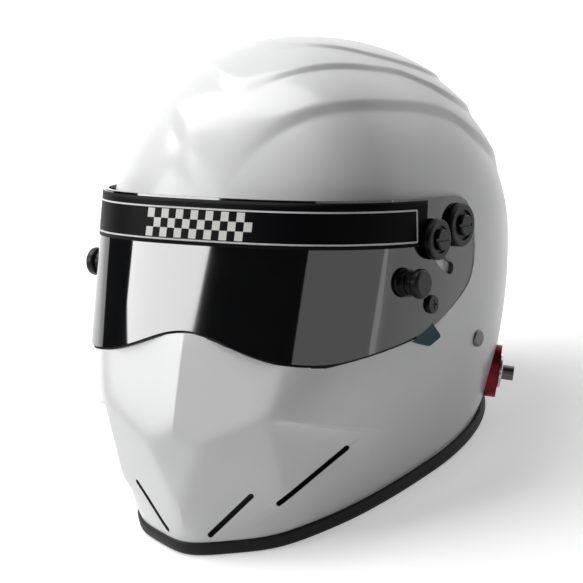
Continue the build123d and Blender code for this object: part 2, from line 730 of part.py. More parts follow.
def make_neck_roll(room):
    """Padded roll round the nape, between the liner and the rim."""
    top = LINER_FOOT_Z - SOFT_GAP
    pad = room & box_between((-FAR, NECK_ROLL_FRONT_Y, top - NECK_ROLL_HEIGHT), (FAR, FAR, top))
    return pad - head_form(-NECK_ROLL_INSET) - below_rim(-TRIM_COVER)


def cheek_space():
    """Room for the face between the cheek pads."""
    base = section(FAR / 4, CHEEK_HALF_WIDTH, HEAD_FRONT, HEAD_REAR, HEAD_POWER, HEAD_POWER)
    return extrude(base, -FAR / 2)


def make_cheek_pads(room):
    """A pad for each cheek, between the liner's foot and the rim: right, then left."""
    top = LINER_FOOT_Z - SOFT_GAP
    pads = room & box_between((-FAR, CHEEK_FRONT_Y, -FAR), (FAR, CHEEK_REAR_Y, top))
    pads = pads - cheek_space() - below_rim(-CHEEK_FOOT_RISE) - airways()
    return sorted(pads.solids(), key=lambda solid: solid.center().X)


def make_chin_foam(room, core):
    """Foam behind the chin bar, below the eyeport, with ways for the air."""
    top = -LENS_DROP - EYEPORT_FOOT_INSET / 2
    foam = (room - core) & box_between((-FAR, -FAR, -FAR), (FAR, CHEEK_FRONT_Y - SOFT_GAP, top))
    foam = foam - below_rim(-CHIN_FOAM_FOOT_RISE) - airways()
    return max(foam.solids(), key=lambda solid: solid.volume)


def anchor_place():
    """Place on the shell's left rear side whose own Z axis points away from it."""
    turn, tip = radians(ANCHOR_FACING), radians(ANCHOR_TIP)
    away = Vector(cos(turn) * cos(tip), sin(turn) * cos(tip), sin(tip))
    return Plane(origin=ANCHOR_POINT, x_dir=(-sin(turn), cos(turn), 0), z_dir=away)


def restraint_anchor(outside, inside):
    """Red base, washer and post for a restraint tether, for the left side."""
    place = anchor_place()
    oval = place * Ellipse(ANCHOR_HALF_WIDTH, ANCHOR_HALF_HEIGHT)
    hole = extrude(place * Circle(ANCHOR_NECK_R), FAR, both=True)
    base = extrude(oval, ANCHOR_THICKNESS) + extrude(oval, -2 * ANCHOR_THICKNESS)
    base = base - outside - hole
    top = place.offset(ANCHOR_THICKNESS)
    washer = extrude(top * Circle(ANCHOR_WASHER_R), ANCHOR_WASHER_THICKNESS)
    washer = chamfer(washer.edges(), ANCHOR_WASHER_THICKNESS / 4) - hole
    seat = top.offset(ANCHOR_WASHER_THICKNESS)
    post = extrude(seat * Circle(ANCHOR_POST_R), ANCHOR_POST_LENGTH)
    end = seat.offset(ANCHOR_POST_LENGTH)
    post -= extrude(end * RegularPolygon(HEX_BORE_R, 6), -HEX_BORE_DEPTH)
    shaft = extrude(seat * Circle(ANCHOR_NECK_R), -ANCHOR_THICKNESS - 4 * SHELL_WALL) - inside
    return base, washer, post + shaft


def shell_x(y, z, inset):
    """How far out the shell's side is behind and below the centre, drawn in by the inset."""
    shrink = superellipse_share(z / (SHELL_DOWN - inset), SIDE_POWER)
    rear = (SHELL_REAR - inset) * shrink
    return (SHELL_HALF_WIDTH - inset) * shrink * superellipse_share(y / rear, PLAN_POWER_REAR)


def strap_x(z):
    """How far out the middle of the strap is at a height on the wall."""
    wall = shell_x(RIVET_Y + STRAP_WIDTH / 2, z, SHELL_WALL)
    return wall - PLATE_THICKNESS - STRAP_THICKNESS / 2 - 2 * SOFT_GAP


def rivet_shank():
    """Line of the left rivet, from the inner face of the strap to its head."""
    end = strap_x(RIVET_Z) - STRAP_THICKNESS
    length = shell_x(RIVET_Y, RIVET_Z, 0.0) - end
    place = side_places(RIVET_Y, RIVET_Z)[0]
    return place * Pos(0, 0, end) * Cylinder(RIVET_SHANK_R, length, align=UPRIGHT)


def make_rivet(outside):
    """Steel rivet with a low domed head, through the shell, for the left side."""
    skin = shell_x(RIVET_Y, RIVET_Z, 0.0)
    head = Cylinder(RIVET_R, 2 * RIVET_HEIGHT, align=UPRIGHT)
    head = fillet(head.edges().sort_by(Axis.Z)[-1], RIVET_HEIGHT / 1.5)
    head = side_places(RIVET_Y, RIVET_Z)[0] * Pos(0, 0, skin - RIVET_HEIGHT) * head
    return (head - outside) + rivet_shank()


def make_anchor_plate():
    """Curved steel plate inside the shell that spreads the strap's load, on the left."""
    blank = Box(PLATE_WIDTH, PLATE_HEIGHT, FAR, align=UPRIGHT)
    blank = fillet(blank.edges().filter_by(Axis.Z), PLATE_WIDTH / 4)
    blank = side_places(RIVET_Y, RIVET_Z)[0] * blank
    plate = blank & egg(SHELL_WALL + RUNNING_GAP)
    return plate - egg(SHELL_WALL + RUNNING_GAP + PLATE_THICKNESS) - rivet_shank()


def strap_band(inner_end):
    """Line of a strap seen from the front, from its plate inwards, as a band."""
    start = (strap_x(STRAP_TOP_Z), STRAP_TOP_Z)
    bend = (strap_x(STRAP_BEND_Z), STRAP_BEND_Z)
    middle = (inner_end + (bend[0] - inner_end) * STRAP_MID_SHARE, STRAP_SAG_Z)
    path = FilletPolyline(start, bend, middle, (inner_end, STRAP_SAG_Z), radius=STRAP_TURN_R)
    return trace(path, STRAP_THICKNESS)


def make_straps():
    """Webbing straps: the left one is sewn into a loop round the two ring bars."""
    plane = Plane.XZ.offset(-RIVET_Y)
    eye = RING_WIRE_R + RING_GAP
    middle = Pos(STRAP_LOOP_X, STRAP_SAG_Z)
    outer = middle * SlotCenterToCenter(RING_PITCH, 2 * (eye + STRAP_THICKNESS))
    inner = middle * SlotCenterToCenter(RING_PITCH, 2 * eye)
    loop_end = STRAP_LOOP_X + RING_PITCH / 2 + eye
    left = extrude(plane * (strap_band(loop_end) + outer - inner), STRAP_WIDTH / 2, both=True)
    right = extrude(plane * strap_band(STRAP_FREE_X), STRAP_WIDTH / 2, both=True)
    return left - rivet_shank(), mirror(right - rivet_shank(), about=Plane.YZ)


def ring_bar(side):
    """Middle of a ring's straight bar, on the inner side (-1) or the outer side (1)."""
    return Vector(STRAP_LOOP_X + side * RING_PITCH / 2, RIVET_Y, STRAP_SAG_Z)


def d_ring(side):
    """Closed wire ring: a straight bar in the strap's loop, two sides and a round bow."""
    bow = Rot(0, 90, 0) * Torus(RING_HALF_WIDTH, RING_WIRE_R)
    bow = bow & box_between((-FAR, -FAR, -FAR), (FAR, FAR, 0))
    leg = Cylinder(RING_WIRE_R, RING_LEG, align=UPRIGHT)
    bar = Rot(90, 0, 0) * Cylinder(RING_WIRE_R, 2 * RING_HALF_WIDTH)
    ring = Pos(0, 0, -RING_LEG) * bow + bar
    for y in (-RING_HALF_WIDTH, RING_HALF_WIDTH):
        ring += Pos(0, y, -RING_LEG) * leg + Pos(0, y, 0) * Sphere(RING_WIRE_R)
    return Pos(ring_bar(side)) * ring


def to_rest(pieces):
    """Tips the worn helmet back until its base trim is level, and centres its footprint."""
    tip = Rot(-RIM_SLOPE, 0, 0)
    tipped = {name: tip * piece for name, piece in pieces.items()}
    shell, trim = (tipped[name].bounding_box() for name in ("outer_shell", "base_trim"))
    middle = (min(shell.min.Y, trim.min.Y) + max(shell.max.Y, trim.max.Y)) / 2
    move = Pos(0, -middle, -trim.min.Z)
    return {name: move * piece for name, piece in tipped.items()}, move * tip


def build():
    outside = helmet_form(0.0)
    inside = helmet_form(SHELL_WALL)
    room = helmet_form(SHELL_WALL + SOFT_GAP) - pocket_backing(SOFT_GAP)
    shell = make_outer_shell(outside, inside)
    cover = helmet_form(-TRIM_COVER)
    lining = helmet_form(SHELL_WALL + TRIM_COVER)
    core = helmet_form(SHELL_WALL + SOFT_GAP + CHIN_FOAM_THICKNESS)
    base, washer, post = restraint_anchor(helmet_form(-RUNNING_GAP), inside)
    front_screen, side_screen = vent_screens(room)
    strap_left, strap_right = make_straps()
    cheek_right, cheek_left = make_cheek_pads(room)
    return {
        "outer_shell": shell,
        "base_trim": make_base_trim(cover, lining, shell),
        "eyeport_seal": make_lower_seal(),
        "brow_seal": make_brow_seal(outside),
        "shield_lens": make_lens(),
        "sun_strip": make_sun_strip(),
        "tearoff_posts": tearoff_posts(),
        "post_screws": post_screws(),
        "snap_buttons": snap_buttons(),
        "lift_tab": make_lift_tab(),
        "shield_pivot_screws": thumb_screw(PIVOT_Y, PIVOT_Z, PIVOT_DISC_R),
        "shield_detent_screws": thumb_screw(*detent_place(), DETENT_DISC_R),
        "pivot_washers": pivot_washers(),
        "screw_nuts": insert_nuts(),
        "front_vent_screens": pair(front_screen),
        "side_vent_screens": pair(side_screen),
        "restraint_anchor_bases": pair(base),
        "restraint_washers": pair(washer),
        "restraint_posts": pair(post),
        "strap_rivets": pair(make_rivet(outside)),
        "strap_anchor_plates": pair(make_anchor_plate()),
        "chin_strap_left": strap_left,
        "chin_strap_right": strap_right,
        "d_ring_inner": d_ring(-1),
        "d_ring_outer": d_ring(1),
        "impact_liner": make_liner(room),
        "chin_bar_foam": make_chin_foam(room, core),
        "crown_pad": make_crown_pad(),
        "brow_pad": make_brow_pad(),
        "cheek_pad_left": cheek_left,
        "cheek_pad_right": cheek_right,
        "neck_roll": make_neck_roll(room),
    }


def main():
    os.makedirs("parts", exist_ok=True)
    pieces, rest = to_rest(build())
    for name, piece in pieces.items():
        export_step(piece, f"parts/{name}.step")
    print("centre of the dome", rest.position, "turn about X", -RIM_SLOPE)


main()
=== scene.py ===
# %% [markdown]
# # A full-face auto racing helmet
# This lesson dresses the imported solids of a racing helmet: a glossy white shell with a
# stepped crown and a faceted chin, a dark wrap-round shield, and the foam, pads and straps
# inside. The solids come in as a fixed frame. Hardware keeps its solids and gets finishes,
# and the shell, shield and soft parts are modelled again with finer surfaces.

# %% Load the solids
import json

import bpy
import numpy as np
from mathutils import Matrix, Vector

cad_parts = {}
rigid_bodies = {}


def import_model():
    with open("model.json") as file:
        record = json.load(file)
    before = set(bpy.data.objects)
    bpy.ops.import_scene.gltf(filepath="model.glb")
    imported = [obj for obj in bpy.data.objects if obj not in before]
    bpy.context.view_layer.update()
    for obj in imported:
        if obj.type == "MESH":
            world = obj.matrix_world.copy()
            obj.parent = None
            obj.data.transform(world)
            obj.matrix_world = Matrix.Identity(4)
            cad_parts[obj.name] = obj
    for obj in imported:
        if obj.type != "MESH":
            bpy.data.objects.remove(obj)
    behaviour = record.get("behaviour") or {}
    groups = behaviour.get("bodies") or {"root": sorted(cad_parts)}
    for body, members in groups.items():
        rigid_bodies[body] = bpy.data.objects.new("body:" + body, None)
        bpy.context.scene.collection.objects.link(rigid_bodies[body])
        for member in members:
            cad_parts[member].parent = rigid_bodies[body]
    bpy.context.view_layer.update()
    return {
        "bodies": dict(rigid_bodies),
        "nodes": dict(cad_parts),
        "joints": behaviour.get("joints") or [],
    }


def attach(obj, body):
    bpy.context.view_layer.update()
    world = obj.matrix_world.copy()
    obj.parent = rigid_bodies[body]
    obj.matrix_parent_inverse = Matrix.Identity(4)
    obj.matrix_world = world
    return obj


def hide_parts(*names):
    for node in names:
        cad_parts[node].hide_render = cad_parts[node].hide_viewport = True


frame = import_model()
bodies, nodes = frame["bodies"], frame["nodes"]

# %% [markdown]
# The helmet is drawn as it is worn, with the middle of its dome at zero, because every
# surface on it is simple there. It stands tipped back by the slope of its rim. One matrix
# carries the worn helmet to where it stands, and the shield's pivot, which the record
# gives in the standing frame, fixes its last unknown, the shift.

# %% The worn helmet and the standing helmet
MM = 0.001
RIM_SLOPE = np.radians(18.5)
PIVOT = Vector((0.0, -9.5, 16.9)) * MM
pivot_joint = next(j for j in frame["joints"] if j["name"] == "shield_pivot")
TIP = Matrix.Rotation(-RIM_SLOPE, 4, "X")
STAND = Matrix.Translation(Vector(pivot_joint["pos_m"]) - TIP @ PIVOT) @ TIP
print("dome centre stands at", [round(c, 4) for c in STAND.translation])

# %% [markdown]
# The camera looks from the front left, a little above the helmet, through a long lens.
# Its place was fitted in the worn frame to edges of the shield and the rim, and is carried
# to the standing frame with the rest.

# %% Camera
AZIMUTH, ELEVATION = np.radians(35.0), np.radians(6.09)
EYE_BACK, EYE_LEFT, EYE_DOWN = 1.91872, 0.00912, 0.034977
FOCAL_SHARE, SENSOR = 2838.15 / 583.0, 36.0
right = Vector((np.cos(AZIMUTH), np.sin(AZIMUTH), 0.0))
back = Vector((np.sin(AZIMUTH) * np.cos(ELEVATION), -np.cos(AZIMUTH) * np.cos(ELEVATION),
               np.sin(ELEVATION)))
above = back.cross(right)
eye = back * EYE_BACK - right * EYE_LEFT - above * EYE_DOWN
camera = bpy.data.objects.new("camera", bpy.data.cameras.new("camera"))
camera.data.sensor_width = SENSOR
camera.data.lens = SENSOR * FOCAL_SHARE
looking = Matrix((right, above, back)).transposed().to_4x4()
camera.matrix_world = STAND @ Matrix.Translation(eye) @ looking
bpy.context.scene.collection.objects.link(camera)
bpy.context.scene.camera = camera
print("camera at", [round(c, 3) for c in camera.matrix_world.translation])

# %% [markdown]
# Most pieces are grids of points worked out by numpy. A helper takes points of the worn
# helmet in millimetres, moves them to where the helmet stands and makes an object of them.
# The objects themselves stay at the origin, as the solids do.

# %% Points, lines and grids


def piece(name, points, faces, body="helmet", smooth=True, stand=STAND):
    """An object from points in worn millimetres, moved to where the helmet stands."""
    stand = np.array(stand)
    placed = np.asarray(points) * MM @ stand[:3, :3].T + stand[:3, 3]
    mesh = bpy.data.meshes.new(name)
    mesh.from_pydata(placed.tolist(), [], faces)
    mesh.validate()
    mesh.update()
    if smooth:
        mesh.shade_smooth()
    made = bpy.data.objects.new(name, mesh)
    bpy.context.scene.collection.objects.link(made)
    if body:
        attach(made, body)
    return made


def grid_faces(rows, columns, start=0, closed=False, flip=False):
    """Quads between neighbouring rows of points, which may close into a ring."""
    faces = []
    for row in range(rows - 1):
        for column in range(columns if closed else columns - 1):
            a = start + row * columns + column
            b = start + row * columns + (column + 1) % columns
            quad = (a, b, b + columns, a + columns)
            faces.append(quad[::-1] if flip else quad)
    return faces


def prism(name, near, far):
    """A closed bar between two outlines, for cutting."""
    count = len(near)
    faces = [tuple(range(count))[::-1], tuple(range(count, 2 * count))]
    faces += [(i, (i + 1) % count, count + (i + 1) % count, count + i) for i in range(count)]
    return piece(name, [*near, *far], faces, body=None, smooth=False)


def curve_through(points, steps=24, closed=False):
    """A smooth line through points, as a dense row of points on Catmull-Rom spans."""
    knots = np.asarray(points, float)
    if closed:
        knots = np.vstack([knots[-1], knots, knots[0], knots[1]])
    else:
        knots = np.vstack([2 * knots[0] - knots[1], knots, 2 * knots[-1] - knots[-2]])
    t = np.linspace(0, 1, steps, endpoint=False)[:, None]
    spans = []
    for a, b, c, d in zip(knots, knots[1:], knots[2:], knots[3:]):
        spans.append(0.5 * (2 * b + (c - a) * t + (2 * a - 5 * b + 4 * c - d) * t ** 2
                            + (3 * b - a - 3 * c + d) * t ** 3))
    line = np.vstack(spans)
    return line if closed else np.vstack([line, knots[-2]])


def beside(line, distance):
    """The line moved sideways, to its right, by a distance."""
    run = np.gradient(line, axis=0)
    run /= np.linalg.norm(run, axis=1)[:, None]
    return line + distance * np.column_stack([run[:, 1], -run[:, 0]])


def unit(vector):
    """A vector of length one in the same direction."""
    vector = np.asarray(vector, float)
    return vector / np.linalg.norm(vector)


def eased(share):
    """A share from 0 to 1 that starts and ends softly."""
    share = np.clip(share, 0, 1)
    return share * share * (3 - 2 * share)


print("point helpers ready")

# %% [markdown]
# Cuts and rounded edges are Blender's modifiers, applied at once. A cut leaves the cutter's
# material on the faces it makes.

# %% Cuts and edges
EDGE_ANGLE = 50.0


def run_modifiers(made):
    """Applies an object's modifiers, so that its mesh is final."""
    depsgraph = bpy.context.evaluated_depsgraph_get()
    final = bpy.data.meshes.new_from_object(made.evaluated_get(depsgraph))
    made.modifiers.clear()
    made.data = final


def modify(made, kind, **settings):
    """Applies one modifier with its settings."""
    modifier = made.modifiers.new(kind.lower(), kind)
    for name, value in settings.items():
        setattr(modifier, name, value)
    run_modifiers(made)


def carve(made, cutters):
    """Cuts an object with others, which are then removed."""
    for cutter in cutters:
        cut = made.modifiers.new("cut", "BOOLEAN")
        cut.operation, cut.solver, cut.object = "DIFFERENCE", "EXACT", cutter
        cut.material_mode = "TRANSFER"
    bpy.context.view_layer.update()
    run_modifiers(made)
    for cutter in cutters:
        bpy.data.objects.remove(cutter)


def round_edges(made, width, harden):
    """Small rounded edges where the surface turns sharply."""
    modify(made, "BEVEL", width=width * MM, segments=2, harden_normals=harden,
           limit_method="ANGLE", angle_limit=np.radians(EDGE_ANGLE))


print("edge helpers ready")

# %% [markdown]
# The shell is a moulded egg. Level cuts through it are superellipses: fuller than an
# ellipse, with one power in front and another behind. Above the middle they shrink
# together towards the apex, and below it the face reaches further forward than the brow.
# A grid of rows from apex to rim and columns round the head follows it with even quads.

# %% Sizes of the shell, in worn millimetres
HALF_WIDTH, REAR, UP, DOWN, BROW = 127.5, 154.0, 129.5, 217.0, 113.0
SWELL, SWELL_TOP = 4.0, 27.0
FRONT_POWER, REAR_POWER, SIDE_POWER = 2.6, 2.1, 2.08
FACE_REACH = ((0.0, 117.0), (34.7, 129.75), (69.4, 143.25), (104.2, 150.0), (138.9, 150.75),
              (173.6, 147.75), (208.3, 138.0))
RIM_POINT, TUCK, WALL = (-143.0, -188.0), 3.0, 4.0
COLUMNS, SAMPLES, FACE_FROM, FACE_DENSITY = 480, 20001, -55.0, 1.9
face_curve = curve_through(FACE_REACH)


def falling(share, power=SIDE_POWER):
    """Width left at a share of the way to the end of a superellipse."""
    return np.maximum(1 - np.abs(share) ** power, 0) ** (1 / power)


def swell(z):
    """How far the brow swells out to meet the face below it."""
    return SWELL * np.clip(1 - z / SWELL_TOP, 0, 1) ** 2


def front_reach(z, inset=0.0):
    """How far forward the face or the brow is at a height."""
    above_middle = (BROW - inset) * falling(z / (UP - inset)) + swell(z)
    below_middle = np.interp(-z, face_curve[:, 0], face_curve[:, 1]) - inset
    return np.where(z >= 0, above_middle, below_middle)


def level_reach(z, widest, inset=0.0):
    """How far the side or the rear is out at a height."""
    ends = np.where(z >= 0, UP, DOWN) - inset
    return (widest - inset) * falling(z / ends)


def even_turns(count):
    """Turns round the head, evenly spaced along its widest level but closer at the face."""
    dense = np.linspace(-np.pi / 2, 1.5 * np.pi, SAMPLES)
    c, s = np.cos(dense), np.sin(dense)
    power = np.where(s < 0, FRONT_POWER, REAR_POWER)
    x = HALF_WIDTH * np.sign(c) * np.abs(c) ** (2 / power)
    y = np.where(s < 0, FACE_REACH[0][1], REAR) * np.sign(s) * np.abs(s) ** (2 / power)
    density = np.where(y[1:] < FACE_FROM, FACE_DENSITY, 1.0)
    length = np.concatenate([[0], np.cumsum(density * np.hypot(np.diff(x), np.diff(y)))])
    return np.interp(np.linspace(0, length[-1], count, endpoint=False), length, dense)


TURNS = even_turns(COLUMNS)
COS, SIN = np.cos(TURNS), np.sin(TURNS)
POWER = np.where(SIN < 0, FRONT_POWER, REAR_POWER)
OUT_X = np.sign(COS) * np.abs(COS) ** (2 / POWER)
OUT_Y = np.sign(SIN) * np.abs(SIN) ** (2 / POWER)
print("columns", COLUMNS, "shell width", 2 * HALF_WIDTH)

# %% [markdown]
# Three nested steps crown the helmet. They are soft-edged ledges a few millimetres high,
# and the lowest fades out over the forehead. Rows of the grid follow each ledge's outline
# and crowd together there, so a ledge stays crisp without a dense mesh everywhere.

# %% Crown rows
# Each outline runs down the left from front to rear, in shares of the width and length.
LEDGE_SHARES = (
    ((0.0, -0.662), (0.19, -0.63), (0.41, -0.52), (0.59, -0.377), (0.70, -0.208),
     (0.745, 0.0), (0.77, 0.18), (0.80, 0.36), (0.74, 0.60), (0.46, 0.80), (0.0, 0.87)),
    ((0.0, -0.48), (0.11, -0.455), (0.275, -0.37), (0.42, -0.247), (0.51, -0.123),
     (0.56, 0.02), (0.63, 0.16), (0.68, 0.34), (0.60, 0.56), (0.36, 0.72), (0.0, 0.77)),
    ((0.0, -0.227), (0.12, -0.20), (0.267, -0.137), (0.39, -0.052), (0.47, 0.05),
     (0.52, 0.18), (0.53, 0.34), (0.44, 0.52), (0.26, 0.64), (0.0, 0.68)),
)
LEDGE_HEIGHTS = (3.0, 2.5, 2.0)
FRONT_SOFTNESS, FOREHEAD = ((8.0, 3.0), (2.5, 2.0), (1.0, 1.0)), 34.0
# Distances across a ledge's edge, and the share of its height that is left there.
LEDGE_PROFILE = ((-2.0, 1.0), (-1.2, 0.93), (-0.6, 0.74), (0.0, 0.5), (0.6, 0.26),
                 (1.2, 0.07), (2.0, 0.0))
APEX, LEDGE_ROWS, DOME_ROWS = 0.004, 12, 34
ray_x = HALF_WIDTH * OUT_X
ray_y = np.where(SIN < 0, BROW, REAR) * OUT_Y
ray_turn, ray_length = np.arctan2(ray_y, ray_x), np.hypot(ray_x, ray_y)


def ledge_share(outline):
    """How far out a ledge's edge is in each column, as a share of the way to the side."""
    half = np.array(outline) * (HALF_WIDTH, REAR)
    whole = np.vstack([half, half[-2:0:-1] * (-1, 1)])
    line = curve_through(whole, closed=True)
    turn = np.arctan2(line[:, 1], line[:, 0])
    order = np.argsort(turn)
    reach = np.interp(ray_turn, turn[order], np.hypot(*line.T)[order], period=2 * np.pi)
    return reach / ray_length


def dome_shares(inner, outer, rows):
    """Shares of the way out between two others, evenly spaced along the dome's arc."""
    low, high = np.arcsin(inner ** (SIDE_POWER / 2)), np.arcsin(outer ** (SIDE_POWER / 2))
    return [np.sin(low + (high - low) * step) ** (2 / SIDE_POWER)
            for step in np.linspace(0, 1, rows + 2)[1:-1]]


def crown_levels(ledges):
    """Shares of the way out, and heights above the egg, of the rows over the dome."""
    inner, rise = np.full(COLUMNS, APEX), sum(LEDGE_HEIGHTS) if ledges else 0.0
    levels = [(inner, rise)]
    at_front = np.exp(-(ray_x / FOREHEAD) ** 2) * (SIN < 0)
    steps = list(zip(LEDGE_SHARES, LEDGE_HEIGHTS, FRONT_SOFTNESS)) if ledges else []
    for outline, height, (within, beyond) in steps[::-1]:
        edge = ledge_share(outline)
        spread = [offset * (1 + at_front * (within if offset < 0 else beyond))
                  for offset, _ in LEDGE_PROFILE]
        places = [edge + distance / ray_length for distance in spread]
        levels += [(share, rise) for share in dome_shares(inner, places[0], LEDGE_ROWS)]
        rise -= height
        levels += [(place, rise + height * part)
                   for place, (_, part) in zip(places, LEDGE_PROFILE)]
        inner = places[-1]
    levels += [(share, 0.0) for share in dome_shares(inner, np.ones(COLUMNS), DOME_ROWS)]
    return levels


def crown_rows(inset=0.0, ledges=True):
    """Rows of points from the apex to the widest level."""
    half = HALF_WIDTH - inset
    reach = np.where(SIN < 0, BROW, REAR) - inset
    rows = []
    for share, rise in crown_levels(ledges):
        x, y = half * OUT_X * share, reach * OUT_Y * share
        part = (np.abs(x / (half + rise)) ** POWER + np.abs(y / (reach + rise)) ** POWER)
        z = (UP - inset + rise) * falling(part ** (1 / POWER))
        forward = 1 + swell(z) / reach
        rows.append(np.column_stack([x, np.where(SIN < 0, y * forward, y), z]))
    return rows


print("crown rows", len(crown_rows()))

# %% [markdown]
# Below the middle the rows run down to the rim, which slopes up to the rear. A row's
# height and how far out it is depend on each other, so it is found in a few rounds.

# %% Face rows
FACE_ROWS, ROUNDS, FIRST_GUESS = 180, 12, -100.0


def fore_and_aft(z, inset):
    """How far forward or back the shell is in each column at a height."""
    return np.where(SIN < 0, front_reach(z, inset), level_reach(z, REAR, inset))


def face_rows(inset=0.0):
    """Rows of points from the widest level to a little below the rim."""
    rows = []
    for step in np.linspace(0, 1, FACE_ROWS + 1)[1:]:
        z = np.full(COLUMNS, FIRST_GUESS * step)
        for _ in range(ROUNDS):
            away = fore_and_aft(z, inset) * OUT_Y - RIM_POINT[0]
            z = (RIM_POINT[1] - TUCK + away * np.tan(RIM_SLOPE)) * step
        width = level_reach(z, HALF_WIDTH, inset)
        rows.append(np.column_stack([width * OUT_X, fore_and_aft(z, inset) * OUT_Y, z]))
    return rows


def above_rim(points):
    """How high points are above the rim's plane."""
    slope = (points[..., 1] - RIM_POINT[0]) * np.tan(RIM_SLOPE)
    return points[..., 2] - RIM_POINT[1] - slope


print("face rows", len(face_rows()))

# %% [markdown]
# Flat facets are pressed into the chin: a point past a facet's plane is pushed back to it,
# with a soft limit, so that the creases come out rounded as moulded ones are. The facet
# under the louvre's ledge lies deeper.

# %% Chin facets
# A facet is a point on it and the way it faces, on the wearer's left.
NOSE = ((0.0, -136.5, -51.0), (0.164, -0.966, 0.2))
KITE = ((21.7, -148.0, -120.0), (0.0, -0.989, -0.146))
CHIN = ((21.7, -148.0, -120.0), (0.385, -0.872, -0.302))
LOUVRE = ((66.6, -135.5, -101.0), (0.835, -0.51, -0.2))
LOUVRE_END, LOUVRE_STEP, LOUVRE_REACH = (102.0, -75.0, -112.5), 1.6, 1.2
LOUVRE_LEAD, LOUVRE_BLEND, LOUVRE_SOFTNESS = 1.0, 3.6, 0.8
SLOT_TOP, SLOT_FOOT = (92.9, -84.6, -121.5), (62.1, -120.7, -157.8)
CHIN_TOP, CHIN_BLEND, CHIN_REAR = -20.0, 10.0, -20.0
OUTWARD = np.array((0.857, -0.515, 0.0))


def on_the_left(points):
    """Points carried over to the wearer's left, and the side that each came from."""
    side = np.where(points[:, 0] < 0, -1.0, 1.0)
    return points * np.column_stack([side, np.ones(len(side)), np.ones(len(side))]), side


def soft_excess(distance, softness=1.0):
    """The part of a distance above zero, with a rounded corner at zero."""
    return softness * np.logaddexp(0, distance / softness)


def press_louvre(p, low, inset):
    """Sinks the facet under the louvre, more towards the louvre's rear end."""
    point, n = LOUVRE[0], unit(LOUVRE[1])
    ledge = np.subtract(LOUVRE_END, point)
    along = unit(ledge)
    crease = unit(np.cross(along, OUTWARD))
    crease *= -np.sign(crease[2])
    under = eased(((p - point) @ crease + LOUVRE_LEAD) / LOUVRE_BLEND)
    share = (p - point) @ along / np.linalg.norm(ledge)
    fade = eased((SLOT_FOOT[2] - p[:, 2]) / (SLOT_FOOT[2] - LOUVRE_END[2]))
    deeper = LOUVRE_STEP * np.clip(share, 0, LOUVRE_REACH) * fade
    excess = soft_excess((p - point) @ n + inset + deeper, LOUVRE_SOFTNESS)
    p -= np.outer(low * under * excess, n)


def press_facets(points, inset=0.0):
    """Pushes what stands out past the chin's facets back to their planes."""
    p, side = on_the_left(points)
    low = np.clip((CHIN_TOP - p[:, 2]) / CHIN_BLEND, 0, 1) * (p[:, 1] < CHIN_REAR)
    for point, facing in (NOSE, KITE, CHIN):
        n = unit(facing)
        p[:, 1] += low * soft_excess((p - point) @ n + inset) / -n[1]
    press_louvre(p, low, inset)
    p[:, 0] *= side
    return p


print("facets on a side", len((NOSE, KITE, CHIN, LOUVRE)))

# %% [markdown]
# Two more touches shape the foot of the chin. The corners between facets grow rounder in
# plan towards the rim, and the jaw sinks in a bevel just below each side slot. Then the
# rows are closed at both ends into one egg, from which all else is cut.

# %% Rim, jaw and the closed egg
RIM_EASE, RIM_PUSH, PUSH_SPREAD = 36.0, 2.4, 60.0
EASE_FROM, EASE_BLEND, EASE_REACH, EASE_SPREAD = -60.0, 40.0, 40, 17.0
JAW_FACING, JAW_STEP, JAW_FADE = (0.862, -0.43, -0.27), 2.4, 16.0
BEVEL_WIDTH, BEVEL_GROWTH, BEVEL_RUN, BEVEL_LEAD, BEVEL_FOOT = 2.0, 0.07, 90.0, 12.0, 14.0


def ease_rim(points):
    """Rounds the chin's corners in plan, more and more towards the rim."""
    rows = points.reshape(-1, COLUMNS, 3).copy()
    share = eased(1 - above_rim(rows) / RIM_EASE)
    share = share * eased((EASE_FROM - rows[..., 1]) / EASE_BLEND)
    reach = np.arange(-EASE_REACH, EASE_REACH + 1)
    weights = np.exp(-0.5 * (reach / EASE_SPREAD) ** 2)
    smooth = sum(w * np.roll(rows[..., :2], -r, axis=1) for w, r in zip(weights, reach))
    smooth /= weights.sum()
    rows[..., :2] += share[..., None] * (smooth - rows[..., :2])
    rows[..., 1] -= share * RIM_PUSH * np.exp(-(rows[..., 0] / PUSH_SPREAD) ** 2)
    return rows.reshape(-1, 3)


def press_jaw(points):
    """Sinks the jaw just below each side slot, in a bevel that widens towards the rim."""
    p, side = on_the_left(points)
    along = unit(np.subtract(SLOT_FOOT, SLOT_TOP))
    below = unit(np.cross(along, OUTWARD))
    below *= -np.sign(below[2])
    run, distance = (p - SLOT_TOP) @ along, (p - SLOT_TOP) @ below
    bevel = BEVEL_WIDTH + BEVEL_GROWTH * np.clip(run, 0, BEVEL_RUN)
    depth = JAW_STEP * eased(distance / bevel) * eased((run + BEVEL_LEAD) / BEVEL_LEAD)
    depth *= p[:, 1] < CHIN_REAR
    depth *= np.exp(-np.maximum(distance - bevel, 0) / JAW_FADE)
    depth *= eased(above_rim(p) / BEVEL_FOOT)
    p -= np.outer(depth, unit(JAW_FACING))
    p[:, 0] *= side
    return p


def closed_egg(inset=0.0, ledges=True, drop=0.0):
    """Points and faces of the whole egg, closed at the apex and below the rim."""
    rows = crown_rows(inset, ledges) + face_rows(inset)
    points = press_jaw(ease_rim(press_facets(np.vstack(rows), inset)))
    if drop:
        points = np.vstack([points, points[-COLUMNS:] - (0, 0, drop)])
    count = len(points)
    faces = grid_faces(count // COLUMNS, COLUMNS, closed=True, flip=True)
    ends = points[:COLUMNS].mean(axis=0), points[-COLUMNS:].mean(axis=0)
    last = count - COLUMNS
    for c in range(COLUMNS):
        after = (c + 1) % COLUMNS
        faces += [(count, c, after), (count + 1, last + after, last + c)]
    return np.vstack([points, ends]), faces


shell_points, shell_faces = closed_egg()
print("shell points", len(shell_points))

